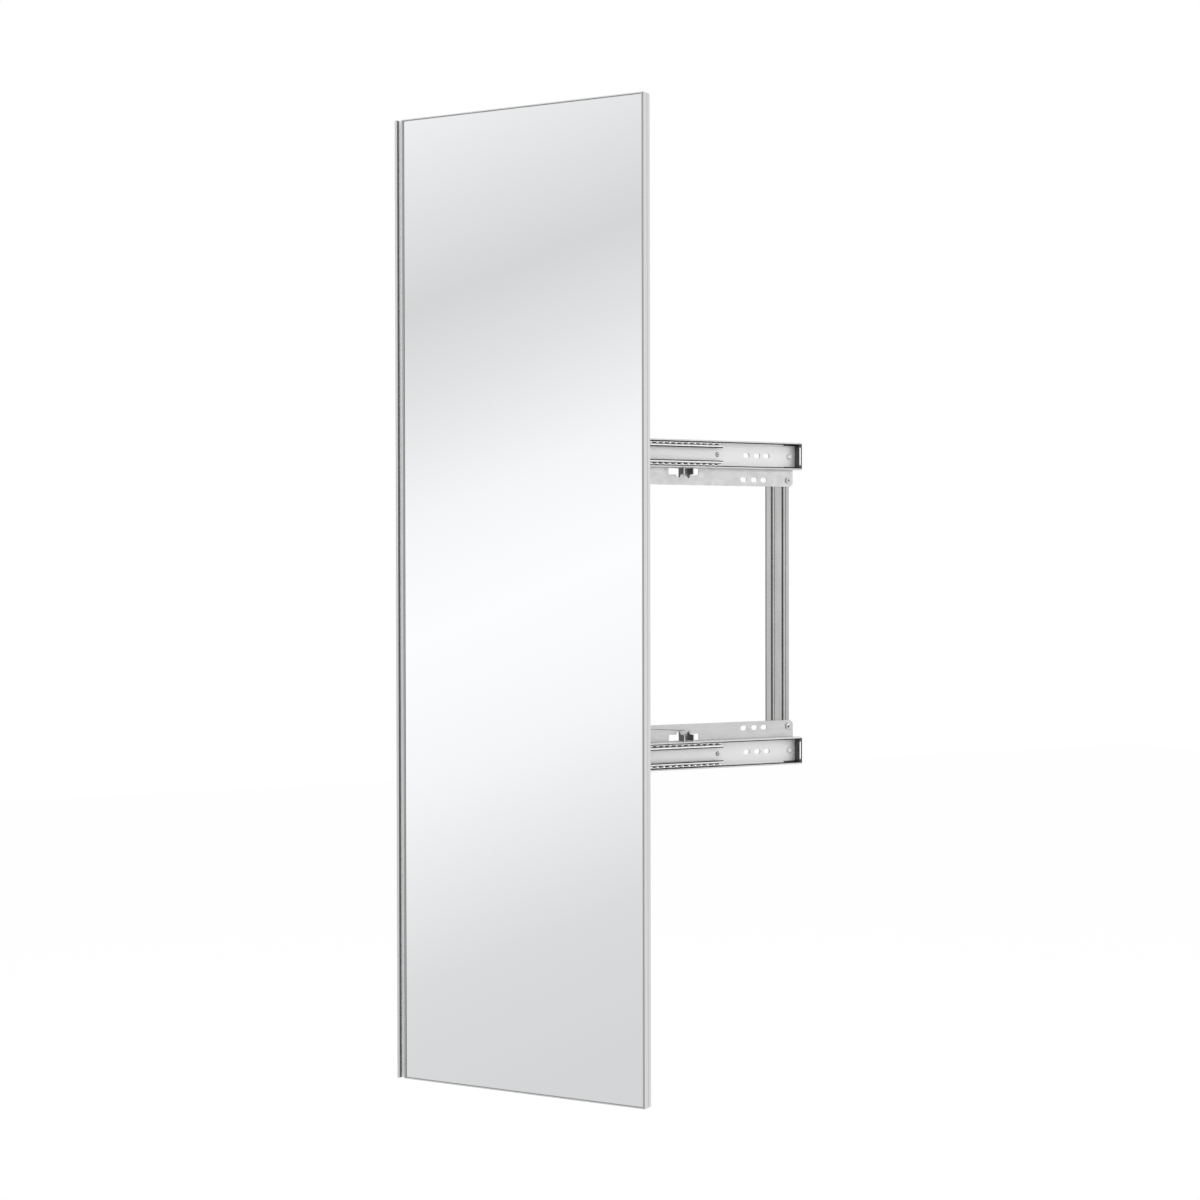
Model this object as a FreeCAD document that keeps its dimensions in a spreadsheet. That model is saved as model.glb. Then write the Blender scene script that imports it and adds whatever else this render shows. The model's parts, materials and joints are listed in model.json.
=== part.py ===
import FreeCAD, Part
import math
import os
import re

import Sketcher
from FreeCAD import Placement, Rotation, Vector

# Pull-out wardrobe mirror. A wall frame carries two ball-bearing slides, one above the other.
# The slides carry a vertical pivot post, and a framed mirror swings on that post.
#
# Frame: +X runs to the back of the wardrobe, so the mirror pulls out along -X. The cabinet side
# lies in the plane Y = 0 and the wardrobe's inside is at -Y. +Z is up. The origin is on the
# cabinet side, at the centre of the slots that the wall frame is screwed through.

doc = FreeCAD.newDocument("PullOutMirror")
sheet = doc.addObject("Spreadsheet::Sheet", "Dims")

SIZES = {
    # pose at rest: how far the middle members are out, and how far the mirror has swung
    "middle_out": 107.4,
    "swing_angle": 56.4,
    # wall frame
    "plate_length": 292,
    "plate_thick": 1.5,
    "plate_overhang": 22.8,
    "plate_margin": 2,
    "plate_corner": 4,
    "upright_width": 36.3,
    "upright_thick": 3,
    "upright_inset": 5.3,
    "upright_lap": 3,
    "tenon_width": 22,
    "tenon_lap": 18,
    "outer_groove_inset": 9,
    "inner_groove_inset": 7,
    "groove_width": 3,
    "groove_depth": 1.6,
    # mounting slots: their line, and the rear ones' distances from the middle of the plate
    "slot_line": 8.7,
    "slot_long": 10,
    "slot_wide": 6.4,
    "slot_far": 99,
    "slot_mid": 84,
    "slot_near": 67,
    "slide_slot_shift": 4,
    # two tabs bent forward out of windows in each plate
    "tab_middle": -26.7,
    "tongue_width": 15.8,
    "tab_length": 15.3,
    "tab_root": 4.5,
    "tab_gap_above": 0.8,
    "tab_height": 8.3,
    "tab_root_drop": 5.3,
    # screws that join plates and uprights
    "frame_screw_edge": 8,
    "frame_screw_rad": 1.6,
    "frame_head_rad": 4.5,
    "frame_head_thick": 1.4,
    # slides
    "slide_spacing": 402,
    "slide_height": 37.2,
    "slide_depth": 12.7,
    "outer_length": 308,
    "outer_overhang": 7,
    "outer_wall": 1.2,
    "outer_lip": 0.9,
    "end_tab_height": 25,
    "end_tab_inset": 2.3,
    "member_wall": 1,
    "middle_length": 291,
    "middle_web_gap": 1.8,
    "middle_depth": 8.5,
    "middle_lip": 3.8,
    "inner_length": 282,
    "inner_setback": 10,
    "inner_depth": 6.9,
    # balls and their cages
    "outer_ball_rad": 2.5,
    "inner_ball_rad": 1.5,
    "outer_ball_depth": 6.4,
    "inner_ball_depth": 8,
    "ball_gap": 0.05,
    "cage_gap": 0.1,
    "cage_clear": 0.3,
    "cage_side_clear": 0.25,
    "outer_cage_wall": 0.8,
    "inner_cage_wall": 0.6,
    "outer_strip_reach": 7,
    "inner_strip_reach": 5,
    "ball_pitch": 9.6,
    "outer_cage_out": 0.5,
    "inner_cage_setback": 21.3,
    "inner_cage_inset": 30,
    # rivets
    "rivet_rad": 1.9,
    "rivet_head_rad": 3.3,
    "stop_head_thick": 2.6,
    "low_head_thick": 1.2,
    "rivet_gap": 0.05,
    "stop_gap": 0.4,
    "front_rivet_inset": 18.5,
    "stud_inset": 4.5,
    "stud_rad": 3,
    "stud_shank_rad": 1.6,
    "stud_bore_rad": 0.9,
    "stud_thick": 1.2,
    # end bumpers
    "bumper_long": 4.8,
    "bumper_wing": 22.5,
    "bumper_wall": 1.8,
    "bumper_gap": 0.05,
    # pivot
    "post_rad": 5,
    "post_offset": 14,
    "arm_height": 14,
    "arm_thick": 5,
    "arm_reach": 70,
    "arm_rivet_near": 18,
    "arm_rivet_far": 52,
    "arm_rivet_head": 1,
    "eye_rad": 8.5,
    "pivot_fit": 0.03,
    "post_clear": 14.1,
    "cap_screw_rad": 2,
    "cap_screw_long": 13,
    "cap_head_rad": 7,
    "cap_head_thick": 2.5,
    "washer_rad": 8.3,
    "washer_thick": 1.5,
    "bush_rad": 7,
    "knuckle_rad": 9.5,
    "knuckle_height": 40,
    "leaf_behind": 44,
    "leaf_ahead": 24,
    "leaf_thick": 4,
    "leaf_screw_rad": 1.8,
    "leaf_screw_long": 8,
    "leaf_head_rad": 3.5,
    "leaf_head_thick": 2,
    "leaf_screw_inset": 7,
    # mirror
    "mirror_width": 350,
    "mirror_height": 1200,
    "mirror_depth": 16.5,
    "mirror_lift": 8.5,
    "pivot_from_edge": 48.75,
    "pivot_behind": 10,
    "edge_wall": 1.2,
    "seal_wide": 0.6,
    "pull_seal": 2.5,
    "seal_set": 0.3,
    "glass_thick": 4,
    "bevel_wide": 2,
    "bevel_deep": 0.6,
    "rib_long": 6,
    "rib_thick": 1,
    "flange_long": 10,
    "flange_thick": 1.5,
    "side_line_deep": 0.4,
    "side_line_at": 9,
    "side_line_wide": 0.6,
    "pull_lip": 3.7,
    "pull_groove": 6.5,
    "pull_deep": 4.6,
    "pull_wall": 0.9,
    "panel_gap": 0.3,
    "key_long": 14,
    "key_screw_rad": 1.5,
    "key_screw_long": 4.5,
    "key_screw_inset": 5,
    "key_head_rad": 2.7,
    "key_head_thick": 1.2,
    "end_screw_depth": 4,
}

for row, (alias, size) in enumerate(SIZES.items(), start=1):
    sheet.set("A%d" % row, alias)
    sheet.set("B%d" % row, str(size))
    sheet.setAlias("B%d" % row, alias)
doc.recompute()

FUNCTIONS = ("floor", "max")


def cells(expression):
    """Puts the sheet's name before each size in an expression."""
    found = re.compile(r"[a-z_]+")
    return found.sub(
        lambda word: word[0] if word[0] in FUNCTIONS else "Dims." + word[0], str(expression)
    )


def value(expression):
    return float(sheet.evalExpression(cells(expression)))


def bind(thing, **expressions):
    """Binds properties, such as Length or Placement.Base.x, to sizes in the sheet."""
    for name, expression in expressions.items():
        thing.setExpression(name.replace("__", "."), cells(expression))
    return thing


def place(thing, x=0, y=0, z=0):
    for axis, expression in zip("xyz", (x, y, z)):
        thing.setExpression("Placement.Base." + axis, cells(expression))
    return thing


# ---------------------------------------------------------------- worked-out places
# Depths across a slide run from its back face, on the plate, towards -Y.
HALF = "(slide_height / 2)"
OUTER_FACE = "(slide_height / 2 - outer_wall)"
OUTER_BALLS = "(slide_height / 2 - outer_wall - ball_gap - outer_ball_rad)"
MIDDLE_FACE = "(slide_height / 2 - outer_wall - 2 * ball_gap - 2 * outer_ball_rad)"
MIDDLE_IN = "(" + MIDDLE_FACE + " - member_wall)"
INNER_BALLS = "(" + MIDDLE_IN + " - ball_gap - inner_ball_rad)"
INNER_FACE = "(" + MIDDLE_IN + " - 2 * ball_gap - 2 * inner_ball_rad)"
INNER_IN = "(" + INNER_FACE + " - member_wall)"
MIDDLE_BACK = "(outer_wall + middle_web_gap)"
SLIDE_Y = "(0 - upright_thick - plate_thick)"
SLIDE_Z = "(slide_spacing / 2)"

OUTER_REAR = "(plate_length / 2 + outer_overhang)"
OUTER_FRONT = "(" + OUTER_REAR + " - outer_length)"
STOP_X = "(plate_length / 2 - outer_overhang)"
FRONT_RIVET_X = "(max(" + OUTER_FRONT + "; 0 - plate_length / 2) + front_rivet_inset)"
MIDDLE_HOME = "(" + STOP_X + " - rivet_head_rad - stop_gap)"
MIDDLE_REAR = "(" + MIDDLE_HOME + " - middle_out)"
MIDDLE_FRONT = "(" + MIDDLE_REAR + " - middle_length)"
INNER_REAR = "(" + MIDDLE_REAR + " - inner_setback - middle_out)"
INNER_FRONT = "(" + INNER_REAR + " - inner_length)"

PIVOT_X = "(" + INNER_FRONT + " - post_clear)"
PIVOT_Y = "(0 - post_offset)"

PLATE_IN = "(slide_spacing / 2 - slide_height / 2 - plate_overhang)"
PLATE_OUT = "(slide_spacing / 2 + slide_height / 2 - plate_margin)"
SLOT_Z = "(" + PLATE_IN + " + slot_line)"
SLOT_PLACES = ["slot_far", "slot_mid", "slot_near"]
SLOT_ROWS = "(slot_far + slot_mid)"
SCREW_X = "(plate_length / 2 - frame_screw_edge)"
UPRIGHT_OUT = "(plate_length / 2 - upright_inset)"

# Mirror, from the pivot: x along the glass to the trailing edge, y to the back.
GLASS_LEFT = "(pull_lip + pull_groove + pull_wall + pull_seal - pivot_from_edge)"
WALL_LEFT = "(pull_lip + pull_groove + pull_wall - pivot_from_edge)"
MIRROR_LEFT = "(0 - pivot_from_edge)"
MIRROR_RIGHT = "(mirror_width - pivot_from_edge)"
WALL_RIGHT = "(mirror_width - pivot_from_edge - edge_wall)"
FRONT = "(0 - mirror_depth - pivot_behind)"
BACK = "(0 - pivot_behind)"
RIB_Y = "(" + FRONT + " + glass_thick)"
PANEL_Y = "(" + FRONT + " + glass_thick + rib_thick)"
FLANGE_Y = "(" + BACK + " - flange_thick)"
MIRROR_LOW = "(mirror_lift - mirror_height / 2)"
MIRROR_HIGH = "(mirror_lift + mirror_height / 2)"


# ---------------------------------------------------------------- makers
def new_body(label):
    body = doc.addObject("PartDesign::Body", label)
    body.Label = label
    return body


def new_sketch(body, name, role, offset=0):
    """A sketch on one of the body's own planes, moved along that plane's normal."""
    sketch = body.newObject("Sketcher::SketchObject", body.Label + "_" + name)
    plane = [item for item in body.Origin.OriginFeatures if item.Role == role][0]
    sketch.AttachmentSupport = (plane, [""])
    sketch.MapMode = "FlatFace"
    sketch.setExpression("AttachmentOffset.Base.z", cells(offset))
    return sketch


def fix_point(sketch, shape, point, x, y):
    """Holds a point of a sketch at a place given by two expressions."""
    for kind, expression in (("DistanceX", x), ("DistanceY", y)):
        held = sketch.addConstraint(
            Sketcher.Constraint(kind, -1, 1, shape, point, value(expression))
        )
        sketch.setExpression("Constraints[%d]" % held, cells(expression))


def outline(sketch, points):
    """A closed outline of straight lines through points given as pairs of expressions."""
    spots = [Vector(value(x), value(y), 0) for x, y in points]
    lines = []
    for start, end in zip(spots, spots[1:] + spots[:1]):
        lines.append(sketch.addGeometry(Part.LineSegment(start, end), False))
    for line, after in zip(lines, lines[1:] + lines[:1]):
        sketch.addConstraint(Sketcher.Constraint("Coincident", line, 2, after, 1))
    for line, (x, y) in zip(lines, points):
        fix_point(sketch, line, 1, x, y)


def circle(sketch, x, y, radius):
    centre = Vector(value(x), value(y), 0)
    ring = sketch.addGeometry(Part.Circle(centre, Vector(0, 0, 1), value(radius)), False)
    fix_point(sketch, ring, 3, x, y)
    size = sketch.addConstraint(Sketcher.Constraint("Radius", ring, value(radius)))
    sketch.setExpression("Constraints[%d]" % size, cells(radius))


def slot(sketch, x, y):
    """A round-ended slot that lies along the sketch's x."""
    radius = "(slot_wide / 2)"
    reach = "((slot_long - slot_wide) / 2)"
    ends = []
    for side, start, end in ((-1, 0.5, 1.5), (1, -0.5, 0.5)):
        middle_x = "(%s + %d * %s)" % (x, side, reach)
        centre = Vector(value(middle_x), value(y), 0)
        arc = Part.ArcOfCircle(
            Part.Circle(centre, Vector(0, 0, 1), value(radius)), start * math.pi, end * math.pi
        )
        ends.append((sketch.addGeometry(arc, False), middle_x))
    (left, left_x), (right, right_x) = ends
    up = Vector(0, value(radius), 0)
    left_at = Vector(value(left_x), value(y), 0)
    right_at = Vector(value(right_x), value(y), 0)
    low = sketch.addGeometry(Part.LineSegment(left_at - up, right_at - up), False)
    high = sketch.addGeometry(Part.LineSegment(right_at + up, left_at + up), False)
    joints = ((left, 2, low, 1), (low, 2, right, 1), (right, 2, high, 1), (high, 2, left, 1))
    for joint in joints:
        sketch.addConstraint(Sketcher.Constraint("Tangent", *joint))
    sketch.addConstraint(Sketcher.Constraint("Equal", left, right))
    fix_point(sketch, left, 3, left_x, y)
    fix_point(sketch, right, 3, right_x, y)
    size = sketch.addConstraint(Sketcher.Constraint("Radius", left, value(radius)))
    sketch.setExpression("Constraints[%d]" % size, cells(radius))


def pad(body, sketch, length):
    feature = body.newObject("PartDesign::Pad", sketch.Name + "_pad")
    feature.Profile = sketch
    feature.setExpression("Length", cells(length))
    body.Tip = feature
    sketch.Visibility = False
    return feature


def cut(body, sketch, length):
    """Cuts a sketch into the body along the sketch's normal, and checks that it took material."""
    doc.recompute()
    before = body.Shape.Volume
    feature = body.newObject("PartDesign::Pocket", sketch.Name + "_cut")
    feature.Profile = sketch
    feature.Reversed = True
    feature.setExpression("Length", cells(length))
    body.Tip = feature
    doc.recompute()
    if body.Shape.Volume >= before:
        raise RuntimeError(body.Label + ": " + feature.Name + " cuts nothing")
    return feature


def box(name, x, y, z):
    """A box from pairs of low and high expressions along each axis."""
    solid = doc.addObject("Part::Box", name)
    for size, (low, high) in zip(("Length", "Width", "Height"), (x, y, z)):
        solid.setExpression(size, cells("(%s) - (%s)" % (high, low)))
    return place(solid, x[0], y[0], z[0])


TURNS = {
    "z": Rotation(),
    "-y": Rotation(Vector(1, 0, 0), 90),
    "y": Rotation(Vector(1, 0, 0), -90),
}


def rod(name, radius, length, x, y, z, along="z"):
    """A cylinder that starts at a point and runs along an axis."""
    solid = doc.addObject("Part::Cylinder", name)
    solid.Placement = Placement(Vector(), TURNS[along])
    solid.setExpression("Radius", cells(radius))
    solid.setExpression("Height", cells(length))
    return place(solid, x, y, z)


def fuse(name, solids):
    joined = doc.addObject("Part::MultiFuse", name)
    joined.Shapes = solids
    joined.Refine = True
    return joined


def take_away(name, base, tool):
    left = doc.addObject("Part::Cut", name)
    left.Base = base
    left.Tool = tool
    return left


def group(name, solids):
    together = doc.addObject("Part::Compound", name)
    together.Links = solids
    return together


def hang_on_pivot(thing):
    """Puts a piece that is drawn about the pivot where the swung mirror holds it."""
    thing.Placement = Placement(Vector(), Rotation(Vector(0, 0, 1), -value("swing_angle")))
    thing.setExpression("Placement.Rotation.Angle", cells("swing_angle"))
    thing.setExpression("Placement.Rotation.Axis.z", "-1")
    return place(thing, PIVOT_X, PIVOT_Y)


LEVELS = (("upper", 1), ("lower", -1))
ENDS = (("rear", 1), ("front", -1))
parts = []


def keep(thing, label=None):
    if label:
        thing.Label = label
    parts.append(thing)
    return thing


# ---------------------------------------------------------------- wall frame
def make_plate(level, side):
    body = new_body(level + "_plate")

    def high(expression):
        return "%d * (%s)" % (side, expression)

    half = "(plate_length / 2)"
    sheet_cut = new_sketch(body, "outline", "XZ_Plane", "upright_thick")
    outline(sheet_cut, [
        ("0 - " + half, high(PLATE_IN + " + plate_corner")),
        ("plate_corner - " + half, high(PLATE_IN)),
        (half + " - plate_corner", high(PLATE_IN)),
        (half, high(PLATE_IN + " + plate_corner")),
        (half, high(PLATE_OUT)),
        ("0 - " + half, high(PLATE_OUT)),
    ])
    for _, end in ENDS:
        circle(sheet_cut, "%d * %s" % (end, SCREW_X), high(SLOT_Z), "frame_screw_rad + rivet_gap")
    for at in SLOT_PLACES:
        slot(sheet_cut, at, high(SLOT_Z))
        slot(sheet_cut, at + " - " + SLOT_ROWS, high(SLOT_Z))
        slot(sheet_cut, at + " + slide_slot_shift", high(SLIDE_Z))
    for at in (STOP_X, FRONT_RIVET_X):
        circle(sheet_cut, at, high(SLIDE_Z), "rivet_rad + rivet_gap")

    # windows, and the tabs that were bent out of them
    top = "(slide_spacing / 2 - slide_height / 2 - tab_gap_above)"
    step = "(" + top + " - tab_height)"
    low = "(" + step + " - tab_root_drop)"
    for way in (-1, 1):
        fold = "(tab_middle + %d * tongue_width / 2)" % way
        outline(sheet_cut, [
            (fold, high(low)),
            (fold + " + %d * tab_root" % way, high(step)),
            (fold + " + %d * tab_length" % way, high(step)),
            (fold + " + %d * tab_length" % way, high(top)),
            (fold, high(top)),
        ])
    pad(body, sheet_cut, "plate_thick")
    for name, way in (("front", -1), ("rear", 1)):
        fold = "(tab_middle + %d * tongue_width / 2)" % way
        start = fold + (" - plate_thick" if way == 1 else "")
        tab = new_sketch(body, name + "_tab", "YZ_Plane", start)
        root = "(0 - upright_thick)"
        outline(tab, [
            (root, high(low)),
            (root + " - plate_thick - tab_root", high(step)),
            (root + " - tab_length", high(step)),
            (root + " - tab_length", high(top)),
            (root, high(top)),
        ])
        pad(body, tab, "plate_thick")
    return keep(body)


def make_upright(end, side):
    """A flat bar with two long grooves, and a tenon at each end that takes the frame screw."""
    body = new_body(end + "_upright")
    shape = new_sketch(body, "outline", "XZ_Plane", 0)

    def along(expression):
        return "%d * (%s)" % (side, expression)

    shoulder = "(" + PLATE_IN + " + upright_lap)"
    tip = "(" + PLATE_IN + " + tenon_lap)"
    inner = "(" + UPRIGHT_OUT + " - upright_width)"
    tenon = "(" + UPRIGHT_OUT + " - tenon_width)"
    corners = []
    for high in ("", "0 - "):
        ring = [(along(inner), high + shoulder), (along(tenon), high + shoulder),
                (along(tenon), high + tip), (along(UPRIGHT_OUT), high + tip)]
        corners += ring if high == "" else ring[::-1]
    outline(shape, corners)
    for high in ("", "0 - "):
        circle(shape, along(SCREW_X), high + SLOT_Z, "frame_screw_rad + rivet_gap")
    pad(body, shape, "upright_thick")
    grooves = new_sketch(body, "grooves", "XZ_Plane", "upright_thick - groove_depth")
    for left in ("(" + UPRIGHT_OUT + " - outer_groove_inset - groove_width)",
                 "(" + inner + " + inner_groove_inset)"):
        outline(grooves, [
            (along(left), "0 - " + tip + " - 1"), (along(left + " + groove_width"), "0 - " + tip + " - 1"),
            (along(left + " + groove_width"), tip + " + 1"), (along(left), tip + " + 1"),
        ])
    cut(body, grooves, "groove_depth + 1")
    return keep(body)


def make_frame_screws():
    screws = []
    face = SLIDE_Y
    for end, across in ENDS:
        for level, up in LEVELS:
            name = "frame_screw_%s_%s" % (end, level)
            where = ("%d * %s" % (across, SCREW_X), face, "%d * %s" % (up, SLOT_Z))
            head = rod(name + "_head", "frame_head_rad", "frame_head_thick", *where, "-y")
            shank = rod(name + "_shank", "frame_screw_rad", "upright_thick + plate_thick", *where, "y")
            screws.append(fuse(name, [head, shank]))
    return keep(group("frame_screws", screws))


# ---------------------------------------------------------------- slides
def channel(label, points, start, length):
    """A rolled section, drawn across a slide and run along X. Points are (depth, height)."""
    body = new_body(label)
    section = new_sketch(body, "section", "YZ_Plane", start)
    outline(section, [("0 - (%s)" % depth, height) for depth, height in points])
    pad(body, section, length)
    return body


def both_sides(points):
    """Repeats the points of a section's upper half, mirrored, for its lower half."""
    return points + [(depth, "0 - " + height) for depth, height in reversed(points)]


END_TAB_X = "(" + OUTER_REAR + " - end_tab_inset - outer_wall)"
OUTER_LIP = "(" + OUTER_FACE + " - outer_lip)"


def make_outer(level, side):
    """The member fixed to the plate, with a tab bent forward across its rear end."""
    body = channel(level + "_outer_member", both_sides([
        ("0", HALF), ("slide_depth", HALF), ("slide_depth", OUTER_LIP),
        ("slide_depth - member_wall", OUTER_LIP), ("slide_depth - member_wall", OUTER_FACE),
        ("outer_wall", OUTER_FACE),
    ][::-1]), OUTER_FRONT, "outer_length")
    tab = new_sketch(body, "end_tab", "YZ_Plane", END_TAB_X)
    outline(tab, [("0", "end_tab_height / 2"), ("0", "0 - end_tab_height / 2"),
                  ("0 - slide_depth", "0 - end_tab_height / 2"), ("0 - slide_depth", "end_tab_height / 2")])
    pad(body, tab, "outer_wall")
    holes = new_sketch(body, "holes", "XZ_Plane", -1)
    for at in SLOT_PLACES:
        slot(holes, at + " + slide_slot_shift", "0")
    for at in (STOP_X, FRONT_RIVET_X):
        circle(holes, at, "0", "rivet_rad + rivet_gap")
    cut(body, holes, "outer_wall + 2")
    return keep(place(body, 0, SLIDE_Y, "%d * %s" % (side, SLIDE_Z)))


def make_middle(level, side):
    back = MIDDLE_BACK
    front = "(" + back + " + middle_depth)"
    lip = "(" + MIDDLE_FACE + " - middle_lip)"
    body = channel(level + "_middle_member", both_sides([
        (back + " + member_wall", MIDDLE_IN), (front + " - member_wall", MIDDLE_IN),
        (front + " - member_wall", lip), (front, lip), (front, MIDDLE_FACE), (back, MIDDLE_FACE),
    ]), MIDDLE_FRONT, "middle_length")
    holes = new_sketch(body, "holes", "XZ_Plane", back + " - 0.5")
    circle(holes, MIDDLE_REAR + " - stud_inset", "0", "stud_shank_rad + rivet_gap")
    cut(body, holes, "member_wall + 1")
    return keep(place(body, 0, SLIDE_Y, "%d * %s" % (side, SLIDE_Z)))


def make_inner(level, side):
    deep = "(slide_depth - inner_depth)"
    body = channel(level + "_inner_member", both_sides([
        ("slide_depth - member_wall", INNER_IN), (deep, INNER_IN),
        (deep, INNER_FACE), ("slide_depth", INNER_FACE),
    ]), INNER_FRONT, "inner_length")
    holes = new_sketch(body, "holes", "XZ_Plane", "slide_depth - member_wall - 0.5")
    for at in ("arm_rivet_near", "arm_rivet_far"):
        circle(holes, INNER_FRONT + " + " + at, "0", "rivet_rad + rivet_gap")
    cut(body, holes, "member_wall + 1")
    return keep(place(body, 0, SLIDE_Y, "%d * %s" % (side, SLIDE_Z)))


# Each stage's balls: their radius, row height and depth, the cage's own sizes, and the stretch
# along the slide that the cage may fill, from its rear end to its front limit.
STAGES = {
    "outer": {
        "ball": "outer_ball_rad", "row": OUTER_BALLS, "depth": "outer_ball_depth",
        "wall": "outer_cage_wall", "reach": "outer_strip_reach",
        "back": "(outer_wall + cage_clear)",
        "rear": "(" + MIDDLE_REAR + " - outer_cage_out)",
        "front": "(" + FRONT_RIVET_X + " + rivet_head_rad + stop_gap)",
    },
    "inner": {
        "ball": "inner_ball_rad", "row": INNER_BALLS, "depth": "inner_ball_depth",
        "wall": "inner_cage_wall", "reach": "inner_strip_reach",
        "back": "(" + MIDDLE_BACK + " + member_wall + cage_clear)",
        "rear": "(" + INNER_REAR + " - inner_cage_setback)",
        "front": "(" + MIDDLE_FRONT + " + inner_cage_inset)",
    },
}


def collar_radius(stage):
    return "(%s + cage_gap + %s)" % (stage["ball"], stage["wall"])


def ball_steps(stage):
    """How many whole pitches lie between the first and last ball of a row."""
    return "floor((%(rear)s - %(front)s - 2 * COLLAR) / ball_pitch)".replace(
        "COLLAR", collar_radius(stage)) % stage


def ball_places(stage):
    """Where each ball of a row sits along the slide, from the rear."""
    first = "%s - %s" % (stage["rear"], collar_radius(stage))
    total = int(value(ball_steps(stage))) + 1
    return ["(%s - %d * ball_pitch)" % (first, index) for index in range(total)]


def make_cage(name, level, side):
    """A ball cage: a web, a strip along each row of balls, and a collar round each ball."""
    stage = STAGES[name]
    row, wall, back = stage["row"], stage["wall"], stage["back"]
    collar = collar_radius(stage)
    length = "(%s * ball_pitch + 2 * %s)" % (ball_steps(stage), collar)
    strip_out = "(%s + %s / 2)" % (row, wall)
    strip_in = "(%s - %s / 2)" % (row, wall)
    front = "(%s + %s)" % (back, stage["reach"])
    body = channel("%s_%s_cage" % (level, name), both_sides([
        (back + " + " + wall, strip_in), (front, strip_in), (front, strip_out), (back, strip_out),
    ]), stage["rear"] + " - " + length, length)
    half_collar = "(%s + ball_gap - cage_side_clear)" % stage["ball"]
    for row_name, up in LEVELS:
        base = "%d * %s - %s" % (up, row, half_collar)
        collars = new_sketch(body, row_name + "_collars", "XY_Plane", base)
        for along in ball_places(stage):
            circle(collars, along, "0 - " + stage["depth"], collar)
        pad(body, collars, "2 * " + half_collar)
    pockets = new_sketch(body, "pockets", "XY_Plane", "0 - " + HALF)
    for along in ball_places(stage):
        circle(pockets, along, "0 - " + stage["depth"], stage["ball"] + " + cage_gap")
    cut(body, pockets, "slide_height")
    return keep(place(body, 0, SLIDE_Y, "%d * %s" % (side, SLIDE_Z)))


def make_balls(name):
    stage = STAGES[name]
    balls = []
    for level, side in LEVELS:
        for row_name, up in LEVELS:
            for index, along in enumerate(ball_places(stage)):
                title = "%s_ball_%s_%s_%d" % (name, level, row_name, index)
                ball = doc.addObject("Part::Sphere", title)
                ball.setExpression("Radius", cells(stage["ball"]))
                height = "%d * %s + %d * %s" % (side, SLIDE_Z, up, stage["row"])
                place(ball, along, SLIDE_Y + " - " + stage["depth"], height)
                balls.append(ball)
    return keep(group(name + "_cage_balls", balls))


def slide_y(depth):
    """The Y of a depth across a slide."""
    return "(%s - (%s))" % (SLIDE_Y, depth)


def make_slide_rivets():
    """Rivets that join slides to plates. The rear ones stand high and stop the middle members."""
    rivets = []
    heads = (("rear", STOP_X, "stop_head_thick"),
             ("front", FRONT_RIVET_X, "low_head_thick"))
    for level, side in LEVELS:
        high = "%d * %s" % (side, SLIDE_Z)
        for end, at, thick in heads:
            name = "slide_rivet_%s_%s" % (level, end)
            face = slide_y("outer_wall")
            back = slide_y("0 - plate_thick")
            head = rod(name + "_head", "rivet_head_rad", thick, at, face, high, "-y")
            shank = rod(name + "_shank", "rivet_rad", "outer_wall + plate_thick", at, face, high, "y")
            tail = rod(name + "_tail", "rivet_head_rad", "low_head_thick", at, back, high, "y")
            rivets.append(fuse(name, [head, shank, tail]))
    return keep(group("slide_rivets", rivets))


def make_stop_studs():
    """Hollow studs at the rear ends of the middle members."""
    studs = []
    at = MIDDLE_REAR + " - stud_inset"
    for level, side in LEVELS:
        name = "stop_stud_" + level
        high = "%d * %s" % (side, SLIDE_Z)
        face = slide_y(MIDDLE_BACK + " + member_wall")
        head = rod(name + "_head", "stud_rad", "stud_thick", at, face, high, "-y")
        shank = rod(name + "_shank", "stud_shank_rad", "member_wall", at, face, high, "y")
        solid = fuse(name + "_solid", [head, shank])
        bore = rod(name + "_bore", "stud_bore_rad", "stud_thick + 1", at, face, high, "-y")
        studs.append(take_away(name, solid, bore))
    return keep(group("stop_studs", studs))


def make_bumper(level, side):
    """A rubber end piece: a block that sleeves the end tab, and a wing along each flange."""
    body = new_body(level + "_end_bumper")
    block = new_sketch(body, "block", "YZ_Plane", OUTER_REAR + " - bumper_long")
    outline(block, [("0 - outer_wall", OUTER_LIP), ("0 - outer_wall", "0 - " + OUTER_LIP),
                    ("0 - slide_depth", "0 - " + OUTER_LIP), ("0 - slide_depth", OUTER_LIP)])
    pad(body, block, "bumper_long")
    wings = new_sketch(body, "wings", "YZ_Plane", OUTER_REAR + " - bumper_wing")
    for up in (1, -1):
        outer = "%d * %s" % (up, OUTER_FACE)
        inner = "%d * (%s - bumper_wall)" % (up, OUTER_FACE)
        outline(wings, [("0 - outer_wall", outer), ("0 - outer_wall", inner),
                        ("member_wall - slide_depth", inner), ("member_wall - slide_depth", outer)])
    pad(body, wings, "bumper_wing")
    sleeve = new_sketch(body, "sleeve", "YZ_Plane", END_TAB_X + " - bumper_gap")
    high = "(end_tab_height / 2 + bumper_gap)"
    outline(sleeve, [("1", high), ("1", "0 - " + high),
                     ("0 - slide_depth - 1", "0 - " + high), ("0 - slide_depth - 1", high)])
    cut(body, sleeve, "outer_wall + 2 * bumper_gap")
    return keep(place(body, 0, SLIDE_Y, "%d * %s" % (side, SLIDE_Z)))


# ---------------------------------------------------------------- carriage
ARM_FRONT = slide_y("slide_depth - member_wall")
ARM_BACK = slide_y("slide_depth - member_wall - arm_thick")


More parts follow.
